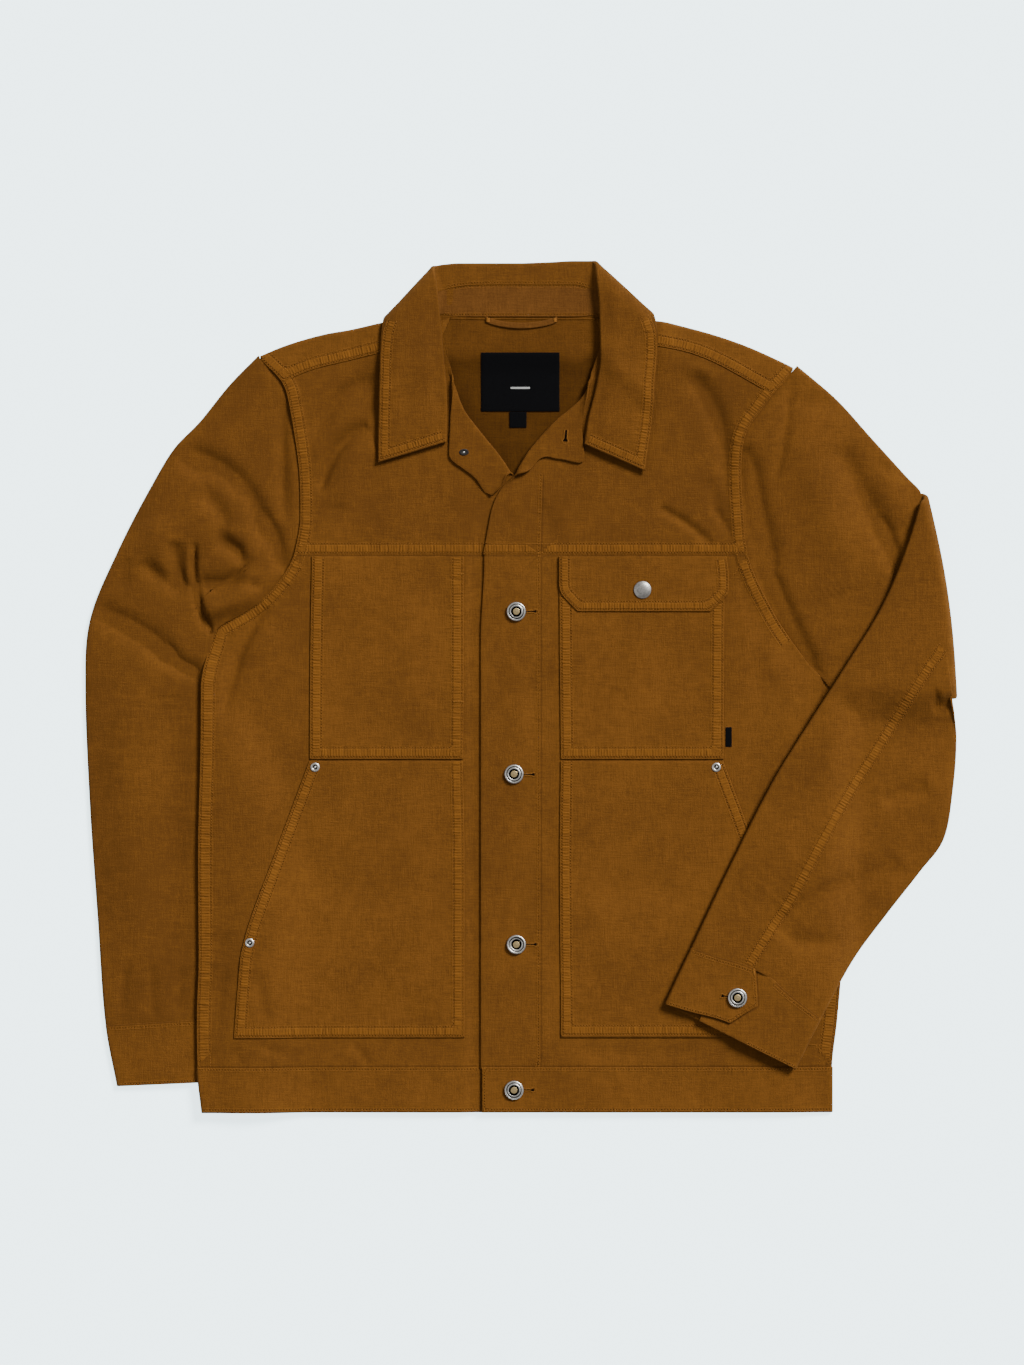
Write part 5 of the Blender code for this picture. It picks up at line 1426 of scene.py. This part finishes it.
def build_collar():
    along = refined([1.0, 0.45, 0.36, 0.32, 0.28, 0.0], 0.009)
    rows = [-s for s in along] + along[::-1][1:]
    seam = ([point_at(RIGHT_COLLAR, "top", s) for s in spread(0.30, 0, 8)]
            + [point_at(LEFT_COLLAR, "top", s) for s in spread(0.04, 0.30, 7)])
    SEAMS["collar_fall_seam"] = (seam, (1.6,))
    SEAMS["collar_stand_seam"] = (seam[::-1], (1.2,))
    SEAMS["neck"] = ([(-70, 326), (66, 326)], (1.6,))
    sheet("collar_stand", refined([0, 1], 0.1), rows, stand_at, colour="canvas_inside",
          slot="canvas_inside", seams=("collar_stand_seam", "neck"), held="folded")
    fall = refined([0, 1], 0.12) + refined([1, 2], 0.125)[1:] + refined([2, 3], 0.04)[1:]
    on_top = eased((np.array(fall) - 2.0) / 0.3) * eased((3.0 - np.array(fall)) / 0.35)

    def leaf_folds(grid):
        """The leaves stand off the yokes between the roll and the free edge."""
        at_end = eased((1.02 - np.abs(np.array(rows)))[:, None] / 0.16)
        places = grid.reshape(-1, 3)[:, :2]
        wave = unevenness(places * 1.7, 4.0).reshape(grid.shape[:2])
        return (1.3 + 1.1 * wave) * on_top * at_end

    sheet("collar_fall", fall, rows, fall_at, COLLAR, held="folded", relief=leaf_folds, shade=-0.16,
          seams=("right_leaf", "left_leaf", "collar_fall_seam"))


def build_labels():
    def loop_at(column, row):
        """The hanger loop droops from its two ends, sewn into the neck seam."""
        x = mix(-32, 31, column)
        sag = 6.0 * math.sin(math.pi * column) ** 0.7
        y = mix(-2.6, 2.6, row) + 323.6 - sag
        return x, y, back_top(x, y) + REST + LOOP / 2 + 0.5 * math.sin(math.pi * column)

    def label(name, box, columns, rows, top_of, **more):
        sheet(name, spread(0, 1, columns), spread(0, 1, rows), strip_at(*box, top_of, LABEL), LABEL,
              slot="label", **more)

    sheet("hanger_loop", spread(0, 1, 36), spread(0, 1, 4), loop_at, LOOP, "canvas_inside")
    curl = (lambda grid: 0.25 * (1 + unevenness(grid.reshape(-1, 3)[:, :2] * 1.6, 1.0)
                                 ).reshape(grid.shape[:2]))
    label("neck_label", (-36, 33, 242.4, 294), 24, 20, back_top, colour="neck_label", relief=curl)
    label("size_tab", (-11, 4, 228, 242), 8, 8, back_top, colour="label", relief=curl)
    label("pocket_tab", (179.2, 184.5, -53, -36), 5, 10, front_top, colour="label", relief=over_fronts)


# ================================================================ models that are copied
def turned(name, rings, steps):
    """A turned or pressed model on its axis: a disc extruded and scaled ring by ring."""
    bpy.ops.object.select_all(action="DESELECT")
    radius, height = rings[0]
    bpy.ops.mesh.primitive_circle_add(vertices=steps, radius=radius * MM, fill_type="NGON",
                                      location=(0, 0, height * MM))
    model = bpy.context.object
    model.name = model.data.name = name
    bpy.ops.object.mode_set(mode="EDIT")
    bpy.ops.mesh.select_all(action="SELECT")
    for (near, low), (far, high) in zip(rings, rings[1:]):
        bpy.ops.mesh.extrude_region_move(TRANSFORM_OT_translate={"value": (0, 0, (high - low) * MM)})
        bpy.ops.transform.resize(value=(far / near, far / near, 1), center_override=(0, 0, 0))
    bpy.ops.mesh.select_all(action="SELECT")
    bpy.ops.mesh.normals_make_consistent(inside=False)
    bpy.ops.object.mode_set(mode="OBJECT")
    bpy.ops.object.transform_apply(location=True, rotation=True, scale=True)
    bpy.ops.object.shade_smooth_by_angle(angle=math.radians(40))
    return model


def drop(model):
    """Delete a model once it is copied."""
    mesh = model.data
    bpy.data.objects.remove(model)
    bpy.data.meshes.remove(mesh)


# ================================================================ sewing
# Radius and place along the thread of each ring of one stitch, of its width and length.
STITCH_RINGS = ((0.12, -0.5), (0.5, -0.28), (0.5, 0.28), (0.12, 0.5))
STITCH_SIDES = 5


def sewn(name, bars, width, rises=0.12):
    """Copies of one modelled stitch, each from one point to another and bowed upwards."""
    model = turned("stitch", STITCH_RINGS, STITCH_SIDES)
    shape = np.array([v.co for v in model.data.vertices]) / MM
    faces = [np.array(face.vertices) for face in model.data.polygons]
    drop(model)
    bars = np.array(bars)
    way = bars[:, 1] - bars[:, 0]
    side = np.stack([-way[:, 1], way[:, 0], np.zeros(len(way))], axis=1)
    side /= np.linalg.norm(side, axis=1)[:, None]
    up = np.cross(way, side)
    up /= np.linalg.norm(up, axis=1)[:, None]
    bow = np.where(np.abs(shape[:, 2]) < 0.4, rises, 0.0)
    places = (bars.mean(1)[:, None] + way[:, None] * shape[None, :, 2:]
              + side[:, None] * shape[None, :, 1:2] * width
              + up[:, None] * (shape[None, :, :1] * width + bow[None, :, None]))
    copies = [(face + k * len(shape)).tolist() for k in range(len(bars)) for face in faces]
    piece = mesh_piece(name, places.reshape(-1, 3), copies)
    alone(piece)
    bpy.ops.object.mode_set(mode="EDIT")
    bpy.ops.mesh.select_all(action="SELECT")
    bpy.ops.mesh.normals_make_consistent(inside=False)
    bpy.ops.object.mode_set(mode="OBJECT")
    bpy.ops.object.shade_smooth()
    piece.data.materials.append(finish("thread"))
    settle(piece)
    return piece


class Ground:
    """The top of some pieces, felt from straight above."""

    def __init__(self, *names):
        self.trees = []
        for name in names:
            mesh = bpy.data.objects[name + "_cloth"].data
            places = [v.co / MM for v in mesh.vertices]
            self.trees.append(BVHTree.FromPolygons(places, [tuple(f.vertices) for f in mesh.polygons]))

    def height(self, x, y):
        hits = [tree.ray_cast(Vector((x, y, 60)), Vector((0, 0, -1)))[0] for tree in self.trees]
        return max((hit.z for hit in hits if hit), default=None)


def stitches(seam, row, ground):
    """Ends of each stitch of a row, where cloth lies under it."""
    cloth = bpy.context.scene.jacket_cloth
    path, rows = SEAMS[seam]
    line = np.array([tuple(p)[:2] for p in offset_path([p[:2] for p in path], rows[row])])
    lengths = np.concatenate([[0], np.cumsum(np.sqrt((np.diff(line, axis=0) ** 2).sum(1)))])
    bars = []
    count = int(lengths[-1] / cloth.stitch_pitch)
    for k in range(count):
        ends = []
        for part in (0.10, 0.90):
            s = (k + part) * lengths[-1] / count
            x, y = np.interp(s, lengths, line[:, 0]), np.interp(s, lengths, line[:, 1])
            z = ground.height(float(x), float(y))
            if z is not None:
                ends.append((float(x), float(y), z - 0.02))
        if len(ends) == 2 and abs(ends[0][2] - ends[1][2]) < 1.5:
            bars.append(ends)
    return bars


TOPSTITCHED = (
    ("body_stitching", ("right_front", "left_front", "right_front_yoke", "left_front_yoke", "back"),
     ("right_yoke", "left_yoke", "right_armhole", "left_armhole", "right_shoulder", "left_shoulder",
      "right_side", "left_side", "placket", "yoke_placket")),
    ("chest_pocket_stitching", ("right_chest_pocket", "left_chest_pocket"), ("right_chest", "left_chest")),
    ("hand_pocket_stitching", ("right_hand_pocket", "left_hand_pocket"), ("right_hand", "left_hand")),
    ("flap_stitching", ("pocket_flap",), ("flap",)),
    ("waistband_stitching", ("waistband",),
     ("waistband_top", "waistband_top_under", "waistband_edge", "waistband_end")),
    ("sleeve_stitching", ("left_sleeve_top",), ("left_hind",)),
    ("cuff_stitching", ("left_cuff", "right_cuff"),
     ("left_cuff_top", "left_cuff_edge", "left_cuff_end", "left_cuff_rest_top", "left_cuff_rest_edge",
      "right_cuff_top", "right_cuff_edge")),
    ("collar_stitching", ("collar_fall", "collar_stand"),
     ("right_leaf", "left_leaf", "collar_fall_seam", "collar_stand_seam", "neck")),
)

# Dense short stitches: centre, half length along x and y, and half width.
BAR_TACKS = (
    ("right_chest_pocket", -52.5, 99.0, 4.2, 0, 1.0),
    ("right_chest_pocket", -56.0, -13.5, 4.4, 0, 1.0),
    ("hanger_loop", -30.0, 323.0, 0, 2.4, 1.6),
    ("hanger_loop", 29.0, 323.0, 0, 2.4, 1.6),
    ("left_cuff", 203.5, -249.5, 0, 3.0, 0.9),
)
# Buttonholes that show: outer end, the way and length they run, half their opening.
BUTTONHOLES = (
    ("left_front", 12.6, 66.0, -22.0, 0.0, 0.3), ("left_front", 11.0, -77.5, -22.0, 0.0, 0.3),
    ("left_front", 12.8, -227.0, -22.0, 0.0, 0.3), ("waistband", 10.5, -355.0, -22.0, 0.0, 0.3),
    ("left_front_yoke", 38.0, 215.5, 0.8, 10.0, 0.9), ("left_cuff", 175.0, -271.5, 20.0, -2.2, 0.3),
)


PURL_PITCH = 0.55            # between the stitches along a buttonhole
PURL_LENGTH = 1.4


def slit_half(opening, run, share):
    """Half the width of a buttonhole's cut: an eyelet at its outer end, then a slit."""
    return opening + mix(0.2, 0, share) + math.exp(-((share * run.length - 0.8) / 1.1) ** 2)


def laid(ground, above, *points):
    """Points put on the ground, those left out that have none under them."""
    heights = [(p, ground.height(*p)) for p in points]
    return [(*p, height + above) for p, height in heights if height is not None]


def build_stitching():
    width = bpy.context.scene.jacket_cloth.thread_width
    for name, nodes, seams in TOPSTITCHED:
        ground = Ground(*nodes)
        bars = [bar for seam in seams for row in range(len(SEAMS[seam][1]))
                for bar in stitches(seam, row, ground)]
        sewn(name, bars, width)
    bars, slits = [], []
    for node, x, y, half_x, half_y, half_width in BAR_TACKS:
        ground = Ground(node)
        way = Vector((half_x, half_y)).normalized()
        side = Vector((-way.y, way.x)) * half_width
        for k in range(-8, 9):
            middle = Vector((x, y)) + Vector((half_x, half_y)) * k / 8
            bars.append(laid(ground, 0.05, middle - side, middle + side))
    for node, x, y, run_x, run_y, opening in BUTTONHOLES:
        ground = Ground(node)
        run = Vector((run_x, run_y))
        side = Vector((-run.y, run.x)).normalized()
        start = Vector((x, y))
        count = int(run.length / PURL_PITCH)
        for k in range(count + 1):
            middle = start + run * k / count
            gap = slit_half(opening, run, k / count) - 0.2
            for hand in (-1, 1):
                near, far = middle + side * gap * hand, middle + side * (gap + PURL_LENGTH) * hand
                bars.append(laid(ground, 0.04, near, far))
        for k in range(-3, 4):
            way = -run.normalized() * math.cos(k * 0.5) + side * math.sin(k * 0.5)
            bars.append(laid(ground, 0.04, start + way * (opening + 0.8), start + way * (opening + 2.0)))
        slits.append((start, run, side, opening, ground))
    sewn("buttonhole_and_tack_stitching", [bar for bar in bars if len(bar) == 2], 0.5, 0.18)
    build_slits(slits)


def build_slits(slits):
    """Painted shade: a dark sheet in the cut of each buttonhole, with its wider eyelet at the outer end."""
    places, faces = [], []
    for start, run, side, opening, ground in slits:
        base = len(places)
        for k in range(13):
            share = k / 12
            half = slit_half(opening, run, share)
            for hand in (-1, 1):
                p = start + run * share + side * half * hand
                places.append((*p, (ground.height(*p) or 0.0) + 0.06))
        faces += [(base + 2 * k, base + 2 * k + 1, base + 2 * k + 3, base + 2 * k + 2) for k in range(12)]
    piece = mesh_piece("buttonhole_cut_shade", places, faces)
    alone(piece)
    wall = piece.modifiers.new("thickness", "SOLIDIFY")
    wall.thickness = 0.1 * MM
    bpy.ops.object.modifier_apply(modifier=wall.name)
    piece.data.materials.append(finish("hollow"))
    settle(piece)


# ================================================================ metal
# Radius and height of each ring, from the foot's rim over the top to the middle.
BUTTON_RINGS = ((6.6, 0), (8.1, 0.4), (8.5, 1.1), (8.5, 2.0), (8.2, 2.6), (7.6, 2.95), (7.0, 2.9),
                (6.6, 2.6), (6.1, 2.6), (5.7, 2.9), (5.1, 3.0), (4.6, 2.8), (4.2, 2.2), (3.4, 2.0),
                (2.6, 2.05), (0.4, 2.05))
BUTTON_WELL = ((4.2, 2.24), (3.8, 2.14), (3.0, 2.12), (0.4, 2.12))
BUTTON_GROOVE = ((6.85, 2.78), (6.6, 2.82), (6.1, 2.82), (5.85, 2.78))
BUTTON_NUB = ((3.3, 2.0), (3.5, 2.4), (3.1, 2.75), (2.4, 2.88), (1.4, 2.8), (0.8, 2.9), (0.1, 2.95))
SNAP_RINGS = ((6.8, 0), (7.5, 0.3), (7.75, 0.8), (7.5, 1.2), (7.0, 1.45), (6.7, 1.45), (6.2, 1.75),
              (5.0, 2.2), (3.4, 2.5), (1.6, 2.62), (0.3, 2.65))
RIVET_RINGS = ((3.5, 0), (3.95, 0.3), (3.9, 0.8), (3.3, 1.2), (2.6, 1.2), (2.1, 0.9), (1.8, 0.3),
               (0.2, 0.3))
# A disc of painted shade in the rivet's hollow.
RIVET_HOLLOW_SHADE = ((2.08, 0.8), (0.4, 0.82))
RIVET_PIN = ((0.95, 0.7), (0.95, 1.0), (0.6, 1.15), (0.1, 1.2))
TACK_RINGS = ((3.9, 0), (4.2, 0.25), (4.1, 0.6), (3.4, 0.8), (2.2, 0.55), (0.2, 0.5))
TACK_PIN = ((0.9, 0.5), (0.9, 0.8), (0.5, 1.0), (0.1, 1.0))


def copied(model, name, place, colour, node, tilt, squash):
    """A copy of a model with its own mesh, at its place in millimetres."""
    mesh = model.data.copy()
    mesh.name = name
    mesh.transform(Matrix.Translation(Vector(place) * MM) @ Euler((tilt, -tilt / 2, 0)).to_matrix().to_4x4()
                   @ Matrix.Diagonal((1, squash, 1, 1)))
    piece = bpy.data.objects.new(name, mesh)
    bpy.context.scene.collection.objects.link(piece)
    piece.data.materials.append(finish(colour))
    settle(piece, [node] if node else ())
    return piece


def foot(node, host):
    """Where a node's foot stands on the piece under it, in millimetres."""
    low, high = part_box(node)
    x, y = (low[0] + high[0]) / 2 / MM, (low[1] + high[1]) / 2 / MM
    return x, y, Ground(host).height(x, y) - 0.15


BUTTONS = (("front_button_1", "left_front"), ("front_button_2", "left_front"),
           ("front_button_3", "left_front"), ("front_button_4", "waistband"),
           ("left_cuff_button", "left_cuff"))
RIVETS = (("rivet_right_pocket_top", "right_hand_pocket"), ("rivet_right_pocket_side", "right_hand_pocket"),
          ("rivet_left_pocket_top", "left_hand_pocket"))
# A group's slot, its nodes with what each stands on, and the models that make one:
# their rings, sides, finish, tilt and squash.  The first of them replaces the node.
METAL = (
    ("silver", BUTTONS, (
        ("cap", BUTTON_RINGS, 48, "nickel", 0.03, 1), ("nub", BUTTON_NUB, 20, "brass", 0, 1),
        ("well", BUTTON_WELL, 32, "pewter", 0, 1), ("groove", BUTTON_GROOVE, 48, "gunmetal", 0, 1))),
    ("pewter", (("flap_snap", "pocket_flap"),), (("cap", SNAP_RINGS, 48, "pewter", 0, 1),)),
    ("copper", RIVETS, (
        ("ring", RIVET_RINGS, 32, "nickel", 0, 1), ("hollow", RIVET_HOLLOW_SHADE, 16, "hollow", 0, 1),
        ("pin", RIVET_PIN, 12, "nickel", 0, 1))),
    ("copper", (("lapel_tack_back", "right_front_yoke"),), (
        ("disc", TACK_RINGS, 24, "gunmetal", 0, 0.68), ("pin", TACK_PIN, 12, "nickel", 0, 1))),
)


def build_metal():
    for slot, nodes, parts in METAL:
        models = [turned("model of a " + part, rings, sides) for part, rings, sides, *_ in parts]
        for k, (node, host) in enumerate(nodes):
            place = foot(node, host)
            for model, (part, _, _, colour, tilt, squash) in zip(models, parts):
                replaced = node if model is models[0] else None
                copied(model, node + "_" + part, place, colour, replaced,
                       tilt * math.sin(2.0 * k + 1), squash)
        for model in models:
            drop(model)


# ================================================================ stage
CAMERA_HEIGHT = 3200.0       # above the jacket
VIEW_WIDTH = 901.12          # of the photo's frame, in the jacket's plane
VIEW_CENTRE = (-8.8, 3.5)
JACKET_PLANE = 6.0
FLOOR_GLOW = 3.05            # the floor's own light


def build_stage():
    bpy.ops.object.select_all(action="DESELECT")
    bpy.ops.mesh.primitive_plane_add(size=9.0, location=(0, 0, -0.0002))
    floor = bpy.context.object
    floor.name = "studio_floor"
    floor.data.materials.append(finish("floor"))

    world = bpy.context.scene.world or bpy.data.worlds.new("studio")
    bpy.context.scene.world = world
    world.use_nodes = True
    sky = world.node_tree.nodes["Background"]
    sky.inputs["Color"].default_value = (0.95, 0.97, 1.0, 1.0)
    sky.inputs["Strength"].default_value = 0.42

    for name, strength, angle, towards in (("key", 7.4, 20, (0.56, 0.60, 0.62)),
                                           ("fill", 0.5, 60, (-0.80, -0.10, 0.75))):
        lamp = bpy.data.lights.new(name, "SUN")
        lamp.energy = strength
        lamp.angle = math.radians(angle)
        light = bpy.data.objects.new(name, lamp)
        light.rotation_euler = Vector(towards).to_track_quat("Z", "Y").to_euler()
        bpy.context.scene.collection.objects.link(light)

    camera_data = bpy.data.cameras.new("photo camera")
    camera_data.sensor_fit = "HORIZONTAL"
    camera_data.sensor_width = 36.0
    camera_data.lens = 36.0 * CAMERA_HEIGHT / VIEW_WIDTH
    camera_data.clip_end = 20.0
    camera = bpy.data.objects.new("photo camera", camera_data)
    camera.location = Vector((*VIEW_CENTRE, JACKET_PLANE + CAMERA_HEIGHT)) * MM
    bpy.context.scene.collection.objects.link(camera)
    bpy.context.scene.camera = camera


# ================================================================ panel and operators
class JacketCloth(bpy.types.PropertyGroup):
    """Sizes of the sewing and the folds."""

    stitch_pitch: FloatProperty(name="Stitch pitch", description="Length of one stitch in mm", default=2.5,
                                min=1.5, max=5.0)
    thread_width: FloatProperty(name="Thread width", description="Thickness of the thread in mm",
                                default=0.55, min=0.2, max=1.2)
    fold_depth: FloatProperty(name="Fold depth", description="Depth of the folds, as a share of that shown",
                              default=1.0, min=0.0, max=1.3, subtype="FACTOR")
    unevenness: FloatProperty(name="Unevenness", description="Rise and fall of the fronts in mm",
                              default=0.55, min=0.0, max=1.0)


def colour_property(name, hexcode):
    """A colour of the panel, its default from an sRGB hex code."""
    return FloatVectorProperty(name=name, description=name + "'s colour", default=linear(hexcode),
                               size=3, min=0.0, max=1.0, subtype="COLOR")


class JacketColours(bpy.types.PropertyGroup):
    """Colours of the cloth, the thread, the metal and the floor."""

    canvas: colour_property("Canvas", "#573613")
    inside: colour_property("Inner side", "#523314")
    neck_shade: colour_property("Painted shade in the neck", "#3E2509")
    # Painted shade given to the back where it shows in the neck.
    worn: colour_property("Worn seams", "#684118")
    thread: colour_property("Thread", "#704718")
    label: colour_property("Labels", "#070708")
    nickel: colour_property("Nickel", "#CFCBC4")
    pewter: colour_property("Antique nickel", "#A5A19B")
    brass: colour_property("Brass", "#C7AE7C")
    tarnish: colour_property("Tarnish", "#3A3836")
    floor: colour_property("Floor", "#DAF0F5")


class JacketBody(bpy.types.Operator):
    """Fronts, yokes, back and waistband"""

    bl_idname = "jacket.body"
    bl_label = "Body"

    def execute(self, context):
        build_body()
        return {"FINISHED"}


class JacketPockets(bpy.types.Operator):
    """Chest and hand pockets and the flap"""

    bl_idname = "jacket.pockets"
    bl_label = "Pockets"

    def execute(self, context):
        build_pockets()
        return {"FINISHED"}


class JacketSleeves(bpy.types.Operator):
    """Both sleeves, the left one folded over"""

    bl_idname = "jacket.sleeves"
    bl_label = "Sleeves"

    def execute(self, context):
        build_sleeve("right", RIGHT_SLEEVE, RIGHT_HIND_SEAM, RIGHT_SLEEVE_CREASES, RIGHT_SLEEVE_CREASES)
        build_sleeve("left", LEFT_SLEEVE, LEFT_HIND_SEAM, UPPER_ARM_CREASES, FOREARM_CREASES)
        return {"FINISHED"}


class JacketCuffs(bpy.types.Operator):
    """Both cuffs with their pointed ends"""

    bl_idname = "jacket.cuffs"
    bl_label = "Cuffs"

    def execute(self, context):
        build_cuff("right", RIGHT_SLEEVE, 0.66, 0.74)
        build_cuff("left", LEFT_SLEEVE, 0.64, 0.73)
        return {"FINISHED"}


class JacketCollar(bpy.types.Operator):
    """Collar stand and collar fall"""

    bl_idname = "jacket.collar"
    bl_label = "Collar"

    def execute(self, context):
        build_collar()
        return {"FINISHED"}


class JacketLabels(bpy.types.Operator):
    """Hanger loop and bare labels"""

    bl_idname = "jacket.labels"
    bl_label = "Labels"

    def execute(self, context):
        build_labels()
        return {"FINISHED"}


class JacketStitching(bpy.types.Operator):
    """Topstitching, bar tacks and buttonholes"""

    bl_idname = "jacket.stitching"
    bl_label = "Stitching"

    def execute(self, context):
        build_stitching()
        return {"FINISHED"}


class JacketMetal(bpy.types.Operator):
    """Tack buttons, snap cap and rivets"""

    bl_idname = "jacket.metal"
    bl_label = "Metal"

    def execute(self, context):
        build_metal()
        return {"FINISHED"}


class JacketStage(bpy.types.Operator):
    """Floor, studio light and the photo's camera"""

    bl_idname = "jacket.stage"
    bl_label = "Stage"

    def execute(self, context):
        build_stage()
        return {"FINISHED"}


STEPS = (JacketBody, JacketPockets, JacketSleeves, JacketCuffs, JacketCollar, JacketLabels,
         JacketStitching, JacketMetal, JacketStage)


class JacketPanel(bpy.types.Panel):
    """Lists the jacket's sizes, colours and steps"""

    bl_idname = "VIEW3D_PT_jacket"
    bl_label = "Canvas trucker jacket"
    bl_space_type = "VIEW_3D"
    bl_region_type = "UI"
    bl_category = "Jacket"

    def draw(self, context):
        for group in (context.scene.jacket_cloth, context.scene.jacket_colours):
            box = self.layout.box()
            for name in group.__annotations__:
                box.prop(group, name)
        for step in STEPS:
            self.layout.operator(step.bl_idname)


CLASSES = (JacketCloth, JacketColours, *STEPS, JacketPanel)


def register():
    for item in CLASSES:
        bpy.utils.register_class(item)
    bpy.types.Scene.jacket_cloth = PointerProperty(type=JacketCloth)
    bpy.types.Scene.jacket_colours = PointerProperty(type=JacketColours)


def unregister():
    del bpy.types.Scene.jacket_colours
    del bpy.types.Scene.jacket_cloth
    for item in reversed(CLASSES):
        bpy.utils.unregister_class(item)


def main():
    register()
    for step in STEPS:
        group, name = step.bl_idname.split(".")
        getattr(getattr(bpy.ops, group), name)()


if __name__ == "__main__":
    main()
